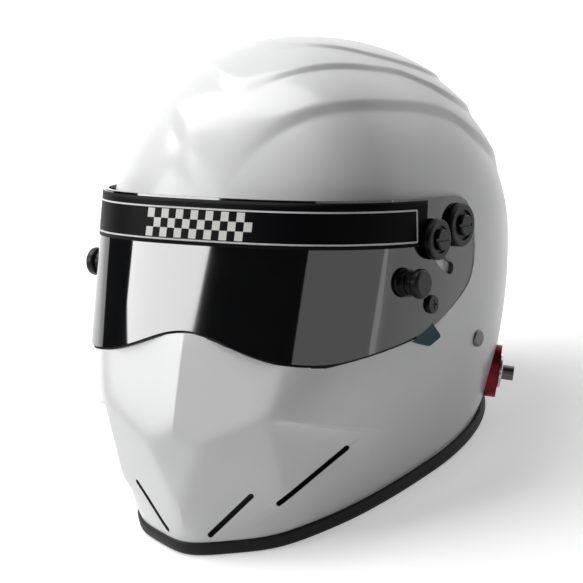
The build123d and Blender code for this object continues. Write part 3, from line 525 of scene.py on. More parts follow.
# %% [markdown]
# The shield is a sheet curved round the face and straight from top to foot, and it leans
# outwards towards its foot. One function gives any patch that follows this surface: the
# shield itself, its film, the pocket it sits in and the opening behind it are all such
# patches with other edges and depths.

# %% Patches that follow the shield
SHIELD_HALF, SHIELD_FRONT, SHIELD_LEAN, SHIELD_POWER = 126.9, 124.7, 0.195, 2.79
SHIELD_TOP, SHIELD_WALL, LINE_BACK, LINE_SAMPLES = 36.0, 3.0, 60.0, 4001
# The foot's edge is given across and up, the rear's edge back and up.
FOOT_EDGE = ((0.0, -48.0), (15.8, -49.6), (31.5, -55.6), (61.2, -64.2), (92.7, -66.9))
REAR_EDGE = ((-111.7, -66.9), (-86.8, -60.2), (-61.0, -53.8), (-35.4, -46.1), (-21.7, -38.9),
             (1.2, -23.2), (8.4, -10.0), (9.6, 4.0), (7.6, 22.1), (0.0, 32.4), (-14.5, 36.0))
EDGE_GUESS, EDGE_ROUNDS, EDGE_BLEND, EDGE_SMOOTH, END_MARGIN = -60.0, 4, 30.0, 9, 0.02
CROWDING = 0.985


def shield_line():
    """Places along the shield's level curve from its front to its rear on the left."""
    t = np.linspace(0, np.pi / 2, LINE_SAMPLES)
    x = SHIELD_HALF * np.sin(t) ** (2 / SHIELD_POWER)
    y = -SHIELD_FRONT * np.cos(t) ** (2 / SHIELD_POWER)
    x, y = np.append(x, SHIELD_HALF), np.append(y, LINE_BACK)
    return np.concatenate([[0], np.cumsum(np.hypot(np.diff(x), np.diff(y)))]), x, y


LINE_RUN, LINE_X, LINE_Y = shield_line()


def on_shield(run, z, inset=0.0):
    """Points of the shield's surface at distances along it and at heights."""
    x = np.sign(run) * np.interp(np.abs(run), LINE_RUN, LINE_X)
    y = np.interp(np.abs(run), LINE_RUN, LINE_Y)
    front = SHIELD_FRONT - SHIELD_LEAN * z - inset
    y = np.where(y < 0, y * front / SHIELD_FRONT, y)
    return np.stack([x * (SHIELD_HALF - inset) / SHIELD_HALF, y, z + 0 * x], axis=-1)


def shield_edges(grow=0.0):
    """The shield's foot and top for places along it, and its rearmost place."""
    foot = beside(curve_through(FOOT_EDGE), grow)
    rear = beside(curve_through(REAR_EDGE), grow)
    last = int(np.argmax(rear[:, 0]))
    low, high = rear[:last + 1], rear[last:][::-1]
    end = np.interp(rear[last, 0], LINE_Y, LINE_RUN)
    window = np.hanning(2 * EDGE_SMOOTH + 3)

    def edges(run):
        x = np.interp(np.abs(run), LINE_RUN, LINE_X)
        z0 = np.full(run.shape, EDGE_GUESS)
        z1 = np.full(run.shape, SHIELD_TOP)
        for _ in range(EDGE_ROUNDS):
            y0, y1 = on_shield(run, z0)[:, 1], on_shield(run, z1)[:, 1]
            at_foot = np.interp(x, foot[:, 0], foot[:, 1])
            at_rear = np.interp(y0, low[:, 0], low[:, 1])
            z0 = np.where(x < FOOT_EDGE[-1][0], at_foot, at_rear)
            z1 = np.where(y1 < high[0, 0], SHIELD_TOP + grow,
                          np.interp(y1, high[:, 0], high[:, 1]))
        share = np.clip((run.max() - np.abs(run)) / EDGE_BLEND, 0, 1)
        padded = np.pad(z0, EDGE_SMOOTH, mode="edge")
        smooth = np.convolve(padded, window[1:-1] / window.sum(), "valid")
        return z0 + share * (smooth - z0), z1

    return edges, end - END_MARGIN


def patch(edges, end, outer, inner, columns=260, rows=22):
    """Points and faces of a closed sheet between two insets from the shield's surface."""
    run = end * np.sin(np.linspace(-np.pi / 2, np.pi / 2, columns) * CROWDING) / np.sin(
        np.pi / 2 * CROWDING)
    z0, z1 = edges(run)
    levels = np.linspace(0, 1, rows)[:, None]
    heights = z0 + (z1 - z0) * levels
    sheets = [on_shield(np.broadcast_to(run, heights.shape), heights, inset).reshape(-1, 3)
              for inset in (outer, inner)]
    points, size = np.vstack(sheets), rows * columns
    faces = grid_faces(rows, columns)
    faces += [tuple(size + i for i in quad[::-1]) for quad in faces]
    rim = list(range(columns)) + [r * columns + columns - 1 for r in range(1, rows)]
    rim += list(range(size - 2, size - columns - 1, -1))
    rim += [r * columns for r in range(rows - 2, 0, -1)]
    for a, b in zip(rim, rim[1:] + rim[:1]):
        faces.append((b, a, a + size, b + size))
    return points, faces


lens_edges, lens_end = shield_edges()
print("shield reaches back to", round(float(lens_end), 1), "mm along its curve")

# %% [markdown]
# The opening for the eyes is cut a little inside the shield's edge, with rounded corners.
# The breathing slots are cut with round-ended bars, one pair in front and one at the sides.

# %% Cutters for the eyeport and the slots
PORT_TOP, PORT_REAR, PORT_INSET, PORT_CORNER, CORNER_RISE = 25.0, -52.0, 12.0, 14.0, 0.6
PORT_LEAN, PORT_SHARPEST = 4.0, 0.999
SLOT_WIDTH, SLOT_DEPTH, SLOT_TURNS = 3.6, 20.0, 9
FRONT_SLOT = ((47.2, -126.0, -151.1), (15.2, -130.0, -180.5), CHIN[1])
SIDE_SLOT = (SLOT_TOP, SLOT_FOOT, (0.60, -0.79, 0.07))


def port_edges():
    """The eyeport's foot and top for places along the shield, and its rearmost place."""
    inner_edges, _ = shield_edges(-PORT_INSET)

    def edges(run):
        z0, z1 = inner_edges(run)
        y = on_shield(run, z0)[:, 1]
        corner = np.clip((y - (PORT_REAR - PORT_CORNER)) / PORT_CORNER, 0, 1)
        bow = np.sqrt(1 - np.minimum(corner, PORT_SHARPEST) ** 2)
        round_off = PORT_CORNER * (1 - bow)
        return z0 + round_off * CORNER_RISE, np.full(run.shape, PORT_TOP) - round_off

    end = PORT_REAR / (SHIELD_FRONT + PORT_LEAN) * SHIELD_FRONT
    return edges, np.interp(end, LINE_Y, LINE_RUN)


def slot_cutter(top, foot, facing):
    """A closed round-ended bar along a slot, through the wall."""
    facing, radius = unit(facing), SLOT_WIDTH / 2
    along = unit(foot - top)
    across = np.cross(facing, along)
    half = np.linalg.norm(foot - top) / 2 - radius
    turns = np.linspace(-np.pi / 2, np.pi / 2, SLOT_TURNS)
    ring = [(half + radius * np.cos(t), radius * np.sin(t)) for t in turns]
    ring += [(-u, -v) for u, v in ring]
    middle = (top + foot) / 2
    ends = [[middle + along * u + across * v + facing * depth for u, v in ring]
            for depth in (-SLOT_DEPTH, SLOT_DEPTH)]
    return prism("slot", *ends)


print("eyeport reaches back to", round(float(port_edges()[1]), 1), "mm along the shield")

# %% [markdown]
# The shell is the egg less a second egg inside it. The shield sits in a pocket, flush at
# the sides, and the hollow stands back behind the pocket, so that the wall goes on there.
# Inside, the cuts leave bare composite. On the slot walls its near-black is also painted shade,
# so that the slots read as dark openings.

# %% Shell
POCKET_GAP, EDGE_GAP, HOLLOW_DROP, OUTSIDE, INSIDE = 1.0, 1.6, 12.0, -30.0, 40.0
SHELL_EDGE = 0.4


def cutter(name, edges, end, outer, inner, **grid):
    """A patch of the shield's surface as a cutter."""
    return piece(name, *patch(edges, end, outer, inner, **grid), body=None, smooth=False)


def lined(made, material):
    """Gives a piece a material, which a cut with it leaves behind."""
    made.data.materials.append(material)
    return made


paint_skin = bpy.data.materials.new("white_paint")
composite_and_slot_shade_skin = bpy.data.materials.new("bare_composite_and_slot_shade")
shell = lined(piece("painted_shell", shell_points, shell_faces), paint_skin)
hollow = piece("hollow", *closed_egg(WALL, ledges=False, drop=HOLLOW_DROP), body=None)
lined(hollow, composite_and_slot_shade_skin)
pocket_depth = SHIELD_WALL + POCKET_GAP
carve(hollow, [cutter("behind_pocket", *shield_edges(EDGE_GAP + WALL), OUTSIDE,
                      pocket_depth + WALL)])
carve(shell, [hollow])
carve(shell, [cutter("pocket", *shield_edges(EDGE_GAP), OUTSIDE, pocket_depth)])
carve(shell, [cutter("port", *port_edges(), OUTSIDE, INSIDE, columns=160)])
# The slot walls take the dark composite, partly as painted shade that makes the slots read as
# dark openings.
carve(shell, [lined(slot_cutter(*[np.array(v) * (side, 1, 1) for v in slot]), composite_and_slot_shade_skin)
              for slot in (FRONT_SLOT, SIDE_SLOT) for side in (1, -1)])
shell.data.shade_smooth()
round_edges(shell, SHELL_EDGE, harden=False)
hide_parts("outer_shell")
print("shell faces", len(shell.data.polygons))

# %% [markdown]
# The rim wears a rubber channel. Its line is read from the shell where the rim's plane cuts
# it, and one cross-section is carried round that line: a lip outside, a rounded foot and a
# lip inside.

# %% Rim channel
# The section is given outwards from the shell's face and down from the rim's plane.
TRIM_SECTION = ((-3.0, 1.0), (0.4, 1.0), (1.3, 1.4), (1.7, 2.2), (1.7, 7.4), (1.4, 8.9),
                (0.4, 10.1), (-1.0, 10.5), (-5.2, 10.5), (-6.9, 9.9), (-7.6, 8.6), (-7.6, 0.6),
                (-7.2, -0.5), (-6.2, -0.8), (-4.2, -0.8))


def rim_line(points):
    """Where the rim's plane cuts the shell, in each column."""
    rows = points[:-2].reshape(-1, COLUMNS, 3)
    height = above_rim(rows)
    line = []
    for column in range(COLUMNS):
        lower = int(np.argmax(height[:, column] < 0))
        a, b = height[lower - 1, column], height[lower, column]
        line.append(rows[lower - 1, column] + a / (a - b) *
                    (rows[lower, column] - rows[lower - 1, column]))
    return np.array(line)


rim = rim_line(shell_points)
down = np.array((0.0, np.sin(RIM_SLOPE), -np.cos(RIM_SLOPE)))
run = np.roll(rim, -1, axis=0) - np.roll(rim, 1, axis=0)
out = np.cross(run, down)
out /= np.linalg.norm(out, axis=1)[:, None]
out *= np.sign(np.sum(out * (rim - rim.mean(axis=0)), axis=1))[:, None]
trim_points = np.vstack([rim + out * o + down * d for o, d in TRIM_SECTION])
trim_faces = [tuple(i % len(trim_points) for i in quad) for quad in
              grid_faces(len(TRIM_SECTION) + 1, COLUMNS, closed=True, flip=True)]
trim = piece("rim_channel", trim_points, trim_faces)
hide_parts("base_trim")
print("rim line length", round(float(np.linalg.norm(run, axis=1).sum() / 2), 1), "mm")

# %% [markdown]
# The shield is moulded in dark smoke polycarbonate. It gets the same patch at its full
# thickness, an arc slot that the rear screw runs in, and small rounded edges that catch
# the light. A printed film runs along its top.

# %% Shield and film
DETENT_RADIUS, DETENT_ANGLE, DETENT_SWEEP, SLOT_RADIUS = 28.9, 194.9, 57.0, 4.05
ARC_POINTS, CAP_POINTS, ASIDE, SHIELD_EDGE = 25, 11, 150.0, 0.45
FILM_FOOT, FILM_TOP, FILM_END, FILM_OUT, FILM_IN = 5.4, 34.6, -44.5, -0.45, -0.05


def arc(radius, turns, centre=(0.0, 0.0)):
    """Points on an arc, as places back and up from the pivot."""
    return [(centre[0] + radius * np.cos(a), centre[1] + radius * np.sin(a)) for a in turns]


def slot_end(end, turn):
    """The round end of the arc slot."""
    return arc(SLOT_RADIUS, end + turn + np.linspace(0, np.pi, CAP_POINTS),
               arc(DETENT_RADIUS, [end])[0])


def arc_slot_cutter():
    """A bar with the outline of the arc slot, from side to side through the shield."""
    start, sweep = np.radians(DETENT_ANGLE), np.radians(DETENT_SWEEP)
    outline = arc(DETENT_RADIUS + SLOT_RADIUS, start + sweep * np.linspace(0, 1, ARC_POINTS))
    outline += slot_end(start + sweep, 0.0)
    inner_turns = start + sweep * np.linspace(1, 0, ARC_POINTS)[1:-1]
    outline += arc(DETENT_RADIUS - SLOT_RADIUS, inner_turns) + slot_end(start, np.pi)[:-1]
    return prism("arc_slot", *[[(x, PIVOT.y / MM + u, PIVOT.z / MM + v) for u, v in outline]
                               for x in (-ASIDE, ASIDE)])


def film_edges(run):
    """The film's foot and top, which are level."""
    return np.full(run.shape, FILM_FOOT), np.full(run.shape, FILM_TOP)


lens = piece("smoke_shield", *patch(lens_edges, lens_end, 0.0, SHIELD_WALL), body="shield")
carve(lens, [arc_slot_cutter()])
round_edges(lens, SHIELD_EDGE, harden=True)
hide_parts("shield_lens")
film_end = np.interp(FILM_END, LINE_Y, LINE_RUN)
film = piece("top_film", *patch(film_edges, film_end, FILM_OUT, FILM_IN, rows=8),
             body="shield")
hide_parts("sun_strip")
print("shield faces", len(lens.data.polygons), "film faces", len(film.data.polygons))

# %% [markdown]
# Shader maths reads best as plain expressions. One small class wraps an output socket and
# turns Python's operators into Math nodes. A finish is a material, and one method of it
# makes every other node: it takes the node's type, its settings, which are set first, and
# the values or flows of its sockets. Textures are worked out from the place on the object.

# %% Flows and finishes


class Flow:
    """A value, colour or vector that varies over a surface."""

    def __init__(self, finish, socket):
        self.finish, self.socket = finish, socket

    def math(self, operation, *values):
        made = self.finish.node("ShaderNodeMath", {"operation": operation},
                                dict(enumerate(values)))
        return made["Value"]

    def __abs__(self):
        return self.math("ABSOLUTE", self)

    def floor(self):
        return self.math("FLOOR", self)


for method, operation in (("__add__", "ADD"), ("__sub__", "SUBTRACT"), ("__mul__", "MULTIPLY"),
                          ("__truediv__", "DIVIDE"), ("over", "GREATER_THAN"),
                          ("under", "LESS_THAN"), ("least", "MINIMUM"),
                          ("wrapped", "FLOORED_MODULO")):
    setattr(Flow, method, lambda a, b, operation=operation: a.math(operation, a, b))
for method, operation in (("__radd__", "ADD"), ("__rsub__", "SUBTRACT"),
                          ("__rmul__", "MULTIPLY")):
    setattr(Flow, method, lambda a, b, operation=operation: a.math(operation, b, a))


class Finish:
    """A material with one Principled shader, whose sockets take constants or flows."""

    def __init__(self, name):
        self.material = bpy.data.materials.get(name) or bpy.data.materials.new(name)
        self.material.use_nodes = True
        self.tree = self.material.node_tree
        self.shader = self.tree.nodes["Principled BSDF"]
        self.place = self.node("ShaderNodeTexCoord", {}, {})["Object"]

    def plug(self, socket, value):
        """Gives a socket a flow or a constant; a colour gets its alpha here."""
        if isinstance(value, Flow):
            self.tree.links.new(value.socket, socket)
        else:
            socket.default_value = (*value, 1.0) if socket.type == "RGBA" else value

    def node(self, kind, settings, sockets):
        """Makes any node, and gives its outputs as flows."""
        made = self.tree.nodes.new(kind)
        for name, value in settings.items():
            setattr(made, name, value)
        for name, value in sockets.items():
            self.plug(made.inputs[name], value)
        return {output.identifier: Flow(self, output) for output in made.outputs}

    def noise(self, scale, detail=4.0, roughness=0.5, stretch=None):
        where = self.place
        if stretch:
            where = self.node("ShaderNodeMapping", {}, {"Vector": where, "Scale": stretch})
            where = where["Vector"]
        made = self.node("ShaderNodeTexNoise", {}, {"Vector": where, "Scale": scale,
                                                    "Detail": detail, "Roughness": roughness})
        return made["Fac"]

    def bands(self, direction, scale, **sockets):
        settings = {"wave_type": "BANDS", "bands_direction": direction}
        sockets = {"Vector": self.place, "Scale": scale, **sockets}
        return self.node("ShaderNodeTexWave", settings, sockets)["Fac"]

    def ramp(self, value, *stops):
        made = self.node("ShaderNodeValToRGB", {}, {"Fac": value})
        elements = made["Color"].socket.node.color_ramp.elements
        while len(elements) < len(stops):
            elements.new(0.5)
        for element, (place, colour) in zip(elements, stops):
            element.position, element.color = place, (*colour, 1.0)
        return made["Color"]

    def mix(self, share, first, second):
        """A colour between two colours, which are sockets 6 and 7 of a mix node."""
        made = self.node("ShaderNodeMix", {"data_type": "RGBA"}, {0: share, 6: first, 7: second})
        return made["Result_Color"]

    def bump(self, height, strength, distance):
        made = self.node("ShaderNodeBump", {}, {"Height": height, "Strength": strength,
                                                "Distance": distance})
        self.set(Normal=made["Normal"])

    def set(self, **sockets):
        for name, value in sockets.items():
            self.plug(self.shader.inputs[name.replace("_", " ")], value)

    def wear(self, *objects):
        """Puts this finish on objects."""
        for made in objects:
            made.data.materials.clear()
            made.data.materials.append(self.material)


print("finishes ready")

# %% [markdown]
# The shell's paint is a clean gloss white over composite. Up close it has a faint orange
# peel and uneven polish, so roughness and bump come from noises at a few scales, and the
# colour varies by a hair.

# %% White paint
paint = Finish("white_paint")
tone = paint.noise(9.0, detail=3.0)
polish = paint.noise(38.0, detail=5.0, roughness=0.6)
peel = paint.noise(420.0, detail=2.0)
paint.set(Base_Color=paint.ramp(tone, (0.3, (0.75, 0.755, 0.765)), (0.7, (0.80, 0.80, 0.80))),
          Roughness=0.26 + 0.12 * polish, Specular_IOR_Level=0.4, Coat_Weight=0.25,
          Coat_Roughness=0.12)
paint.bump(peel, 0.04, 0.0004)
# Dark bare composite inside the shell; on the slot walls the same near-black is partly painted
# shade.
composite_and_slot_shade = Finish("bare_composite_and_slot_shade")
fibres = composite_and_slot_shade.noise(160.0, detail=5.0, stretch=(1.0, 0.2, 1.0))
composite_and_slot_shade.set(Base_Color=composite_and_slot_shade.ramp(fibres, (0.3, (0.012, 0.012, 0.013)),
                                  (0.7, (0.03, 0.03, 0.03))),
           Roughness=0.5 + 0.2 * fibres)
composite_and_slot_shade.bump(fibres, 0.3, 0.0004)
print("paint on", shell.name)

# %% [markdown]
# The shield is nearly black and very glossy, with faint wipe marks. The film along its top
# is printed: a black field between two fine white lines that join at each end, and a plain
# chequered band in the middle. The film's pattern is drawn with worn coordinates, so the
# lines stay level however the helmet stands.

# %% Shield and film finishes
LINE_TOP, LINE_FOOT, LINE_END, LINE_HALF = 28.7, 8.4, -52.0, 0.55
CHECK, CHECK_HALF, CHECK_ROWS, CHECK_LIFT = 6.0, 7, 3, 1.2
smoke = Finish("smoke_polycarbonate")
wipes = smoke.noise(6.0, detail=6.0, roughness=0.65, stretch=(1.0, 1.0, 6.0))
smoke.set(Base_Color=smoke.ramp(wipes, (0.3, (0.0012, 0.0014, 0.0018)),
                                (0.8, (0.002, 0.0023, 0.003))),
          Roughness=0.03 + 0.05 * wipes, IOR=1.6, Specular_IOR_Level=0.7, Coat_Weight=0.3,
          Coat_Roughness=0.02)
smoke.wear(lens)

printed = Finish("printed_film")
worn = printed.node("ShaderNodeMapping", {"vector_type": "TEXTURE"},
                    {"Vector": printed.place, "Location": STAND.to_translation(),
                     "Rotation": TIP.to_euler()})["Vector"]
axes = printed.node("ShaderNodeSeparateXYZ", {}, {"Vector": worn})
across, forward, height = axes["X"] / MM, axes["Y"] / MM, axes["Z"] / MM
level_lines = abs(height - LINE_TOP).under(LINE_HALF) + abs(height - LINE_FOOT).under(LINE_HALF)
end_lines = abs(forward - LINE_END).under(LINE_HALF)
end_lines = end_lines * height.over(LINE_FOOT) * height.under(LINE_TOP)
column = (across / CHECK).floor()
row = ((height - LINE_FOOT - CHECK_LIFT) / CHECK).floor()
check_foot = LINE_FOOT + CHECK_LIFT
band = abs(across).under(CHECK_HALF * CHECK) * height.over(check_foot)
band = band * height.under(check_foot + CHECK_ROWS * CHECK)
ink = level_lines * forward.under(LINE_END) + end_lines
ink = (ink + (column + row).wrapped(2.0).over(0.5) * band).least(1.0)
print_dust = printed.noise(60.0)
printed.set(Base_Color=printed.mix(ink, (0.003, 0.003, 0.004), (0.72, 0.72, 0.70)),
            Roughness=0.36 + 0.12 * print_dust, Specular_IOR_Level=0.05)
printed.wear(film)
print("shield and film finished")

# %% [markdown]
# The hardware keeps its solids. Moulded black plastic has a fine spark-eroded grain, steel
# shows fine turning marks, the restraint bases are anodised dark red, and rubber is matt
# with a little dust.

# %% Hardware finishes


def moulded(name, colour, rough):
    """Plastic or rubber with a fine grain and a little dust."""
    made = Finish(name)
    grain = made.noise(900.0, detail=3.0)
    dust = made.noise(45.0)
    pale = tuple(min(1.0, c * 1.5 + 0.003) for c in colour)
    made.set(Base_Color=made.mix(dust, colour, pale), Roughness=rough + 0.15 * dust,
             Specular_IOR_Level=0.25)
    made.bump(grain, 0.25, 0.0003)
    return made


def metal(name, colour, rough):
    """Metal with turning marks and smears."""
    made = Finish(name)
    turning = made.noise(700.0, detail=2.0, stretch=(1.0, 1.0, 0.06))
    smear = made.noise(30.0)
    dull = tuple(c * 0.8 for c in colour)
    made.set(Base_Color=made.mix(smear, colour, dull), Metallic=1.0,
             Roughness=rough + 0.15 * smear)
    made.bump(turning, 0.1, 0.0002)
    return made


black_plastic = moulded("black_moulding", (0.005, 0.005, 0.006), 0.3)
tab_plastic = moulded("tab_moulding", (0.008, 0.05, 0.06), 0.25)
rubber = moulded("trim_rubber", (0.006, 0.006, 0.006), 0.5)
steel = metal("turned_steel", (0.62, 0.61, 0.59), 0.18)
dark_steel = metal("blued_steel", (0.16, 0.155, 0.15), 0.24)
anodised = metal("anodised_red", (0.21, 0.02, 0.028), 0.32)
mesh_black = moulded("screen_black", (0.02, 0.02, 0.02), 0.6)
for finish, names in (
        (black_plastic, ("tearoff_posts", "snap_buttons", "shield_pivot_screws",
                         "shield_detent_screws", "pivot_washers")),
        (tab_plastic, ("lift_tab",)),
        (rubber, ("eyeport_seal", "brow_seal")),
        (steel, ("restraint_washers", "strap_anchor_plates", "screw_nuts", "post_screws",
                 "d_ring_inner", "d_ring_outer")),
        (dark_steel, ("restraint_posts", "strap_rivets")),
        (anodised, ("restraint_anchor_bases",)),
        (mesh_black, ("front_vent_screens", "side_vent_screens"))):
    finish.wear(*[nodes[name] for name in names])
rubber.wear(trim)
print("hardware finished")

# %% [markdown]
# The dark bead-foam liner and chin foam are rigid mouldings, so they keep their solids.

# %% Foam
foam = Finish("bead_foam")
beads = foam.node("ShaderNodeTexVoronoi", {"feature": "SMOOTH_F1"},
                  {"Vector": foam.place, "Scale": 320.0})["Distance"]
foam.set(Base_Color=foam.ramp(beads, (0.0, (0.035, 0.035, 0.038)),
                              (0.8, (0.012, 0.012, 0.013))),
         Roughness=0.7 + 0.15 * foam.noise(80.0))
foam.bump(1.0 - beads, 0.5, 0.0006)
foam.wear(nodes["impact_liner"], nodes["chin_bar_foam"])
print("foam finished")

# %% [markdown]
# Pads are foam in a knitted cover. Each starts as a copy of its solid, gets an even skin,
# and is blown up a little by a short cloth simulation, so that it crowns between its edges
# as a sewn pad does. A cap keeps it in the room that its solid holds.

# %% Pads
SKIN, SKIN_ROUNDS, PAD_PRESSURE, PAD_CAP, PAD_FRAMES = 5.0, 4, 2.0, 2.5, 10
knit = Finish("knit_cover")
ribs = knit.bands("X", 260.0, Distortion=1.2, Detail=1.0)
loops = knit.bands("Z", 300.0, Distortion=1.2, Detail=1.0)
fuzz = knit.noise(60.0, detail=5.0)
knit.set(Base_Color=knit.mix(ribs * loops, (0.008, 0.008, 0.009), (0.035, 0.035, 0.038)),
         Roughness=0.8 + 0.15 * fuzz, Sheen_Weight=0.3)
knit.bump(ribs * loops, 0.5, 0.0005)


def blow_up(made):
    """A short run of cloth under pressure, with no point moved past the cap."""
    start = np.array([v.co for v in made.data.vertices])
    cloth = made.modifiers.new("cloth", "CLOTH")
    cloth.settings.use_pressure, cloth.settings.uniform_pressure_force = True, PAD_PRESSURE
    cloth.settings.effector_weights.gravity = 0.0
    cloth.settings.quality = 4
    for number in range(1, PAD_FRAMES + 1):
        bpy.context.scene.frame_set(number)
    run_modifiers(made)
    bpy.context.scene.frame_set(1)
    shift = np.array([v.co for v in made.data.vertices]) - start
    length = np.maximum(np.linalg.norm(shift, axis=1), 1e-9)[:, None]
    shift *= np.minimum(1.0, PAD_CAP * MM / length)
    made.data.vertices.foreach_set("co", (start + shift).ravel())


def padded_piece(name, source):
    """A sewn pad in the place of a soft solid."""
    made = bpy.data.objects.new(name, nodes[source].data.copy())
    bpy.context.scene.collection.objects.link(made)
    modify(made, "REMESH", mode="VOXEL", voxel_size=SKIN * MM)
    modify(made, "SMOOTH", factor=0.5, iterations=SKIN_ROUNDS)
    blow_up(made)
    modify(made, "SUBSURF", levels=1)
    made.data.shade_smooth()
    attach(made, "helmet")
    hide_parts(source)
    knit.wear(made)
    return made


pads = [padded_piece(f"sewn_{name}", name) for name in
        ("crown_pad", "brow_pad", "cheek_pad_left", "cheek_pad_right", "neck_roll")]
print("pads", [len(pad.data.polygons) for pad in pads])

# %% [markdown]
# The chin straps are flat woven webbing. A remeshed pad would lose their thin edges, so each
# is drawn as what it is, along a line seen from the front: down the wall, inwards and level
# under the chin. The left one turns back round the bars of the two rings.

# %% Strap lines
STRAP_Y, STRAP_HALF, STRAP_THICK = 23.8, 12.5, 2.2
STRAP_TOP, STRAP_BEND, STRAP_SAG = -46.0, -76.0, -113.0
STRAP_TURN, TURN_POINTS, MID_SHARE, WALL_TO_STRAP, STRAP_STEP = 7.0, 9, 0.55, 3.4, 1.5
LOOP_X, LOOP_HALF, EYE, FREE_X, LOOP_POINTS = 10.0, 1.8, 1.9, 18.0, 15
# On the way to the loop and back below it: places past the loop, and rises above the strap.
LOOP_FROM, LOOP_LEAD = 26.0, ((18.0, 0.4), (12.0, 1.6))
LOOP_RETURN = ((12.0, -2.1), (18.0, -STRAP_THICK), (33.0, -STRAP_THICK))


def strap_out(z):
    """How far out the middle of a strap is at a height on the wall."""
    share = (STRAP_Y + STRAP_HALF) / level_reach(z, REAR, WALL)
    return float(level_reach(z, HALF_WIDTH, WALL) * falling(share, REAR_POWER)) - WALL_TO_STRAP


def strap_line(inner_end):
    """The strap from its plate inwards, as places across and heights."""
    bend = strap_out(STRAP_BEND)
    middle = inner_end + (bend - inner_end) * MID_SHARE
    corners = np.array([(strap_out(STRAP_TOP), STRAP_TOP), (bend, STRAP_BEND),
                        (middle, STRAP_SAG), (inner_end, STRAP_SAG)])
    line = [corners[0]]
    for before, corner, after in zip(corners, corners[1:], corners[2:]):
        start = corner + unit(before - corner) * STRAP_TURN
        end = corner + unit(after - corner) * STRAP_TURN
        line += [start * (1 - t) ** 2 + 2 * corner * t * (1 - t) + end * t * t
                 for t in np.linspace(0, 1, TURN_POINTS)]
    return line + [corners[-1]]


def evenly(line):
    """The same line with its points a step apart."""
    line = np.array(line)
    run = np.concatenate([[0], np.cumsum(np.linalg.norm(np.diff(line, axis=0), axis=1))])
    places = np.linspace(0, run[-1], max(int(run[-1] / STRAP_STEP), 2) + 1)
    return np.column_stack([np.interp(places, run, line[:, i]) for i in (0, 1)])


def ringed_line():
    """The left strap: inwards, round both ring bars, and back below itself."""
    tight = EYE + STRAP_THICK / 2
    near, far = LOOP_X + LOOP_HALF, LOOP_X - LOOP_HALF
    line = strap_line(LOOP_X + LOOP_FROM)
    line += [(LOOP_X + past, STRAP_SAG + rise) for past, rise in LOOP_LEAD]
    line += [(near + 3.0, STRAP_SAG + tight)]
    line += [(far + tight * np.cos(q), STRAP_SAG + tight * np.sin(q))
             for q in np.linspace(np.pi / 2, 1.5 * np.pi, LOOP_POINTS)]
    line += [(near + 2.0, STRAP_SAG - tight)]
    line += [(LOOP_X + past, STRAP_SAG + rise) for past, rise in LOOP_RETURN]
    return evenly(line)


print("the left strap ends at", np.round(ringed_line()[-1], 1))

# %% [markdown]
# A strap is a cross-section carried along its line, with rounded selvedges and lengthwise
# ribs. Rows of heavy thread, each stitch a small loaf, sew both straps near their ends.

# %% Straps
RIB_PITCH, RIB_HEIGHT, SELVEDGE, STRAP_POINTS = 2.27, 0.12, 1.1, 67
STITCHES = np.arange(-9.6, 9.7, 3.2)
# A stitch's places along it with its height there, and its places across with their share.
STITCH_ALONG = ((-1.3, 0.0), (-0.8, 0.42), (0.8, 0.42), (1.3, 0.0))
STITCH_ACROSS, STITCH_ROOT = ((-0.45, 0.0), (-0.2, 1.0), (0.2, 1.0), (0.45, 0.0)), 0.5
SEWN_LEFT, SEWN_RIGHT = (21.0, 24.0, 27.0, 30.0), (3.0, 6.0)


def band(name, line, side):
    """A ribbed band of webbing along a line, on the wearer's left (1) or right (-1)."""
    run = np.gradient(line, axis=0)
    run /= np.linalg.norm(run, axis=1)[:, None]
    across = np.linspace(-STRAP_HALF, STRAP_HALF, STRAP_POINTS)
    edge = np.clip((np.abs(across) - STRAP_HALF + SELVEDGE) / SELVEDGE, 0, 1)
    thick = (STRAP_THICK / 2 - RIB_HEIGHT) * np.sqrt(1 - edge ** 2)
    thick += RIB_HEIGHT * np.cos(2 * np.pi * across / RIB_PITCH) * (edge == 0)
    ring = list(zip(across, thick)) + list(zip(across[-2:0:-1], -thick[-2:0:-1]))
    points = []
    for (x, z), (run_x, run_z) in zip(line, run):
        points += [(side * (x - run_z * t), STRAP_Y + y, z + run_x * t) for y, t in ring]
    count, last = len(ring), len(points) - len(ring)
    faces = grid_faces(len(line), count, closed=True, flip=side > 0)
    ends = (tuple(range(count)), tuple(range(last, last + count))[::-1])
    faces += ends if side > 0 else tuple(end[::-1] for end in ends)
    return piece(name, points, faces)


def thread_rows(name, rows, side):
    """Rows of stitches across the strap, on its underside."""
    points, faces = [], []
    for x, z in rows:
        for y in STITCHES:
            start = len(points)
            points += [(side * (x + dx), STRAP_Y + y + dy, z - high * share)
                       for dy, high in STITCH_ALONG for dx, share in STITCH_ACROSS]
            points.append((side * x, STRAP_Y + y, z + STITCH_ROOT))
            faces += grid_faces(4, 4, start=start, flip=side < 0)
            rim = [0, 1, 2, 3, 7, 11, 15, 14, 13, 12, 8, 4]
            for i, j in zip(rim, rim[1:] + rim[:1]):
                corner = (start + 16, start + j, start + i)
                faces.append(corner if side < 0 else corner[::-1])
    return piece(name, points, faces)


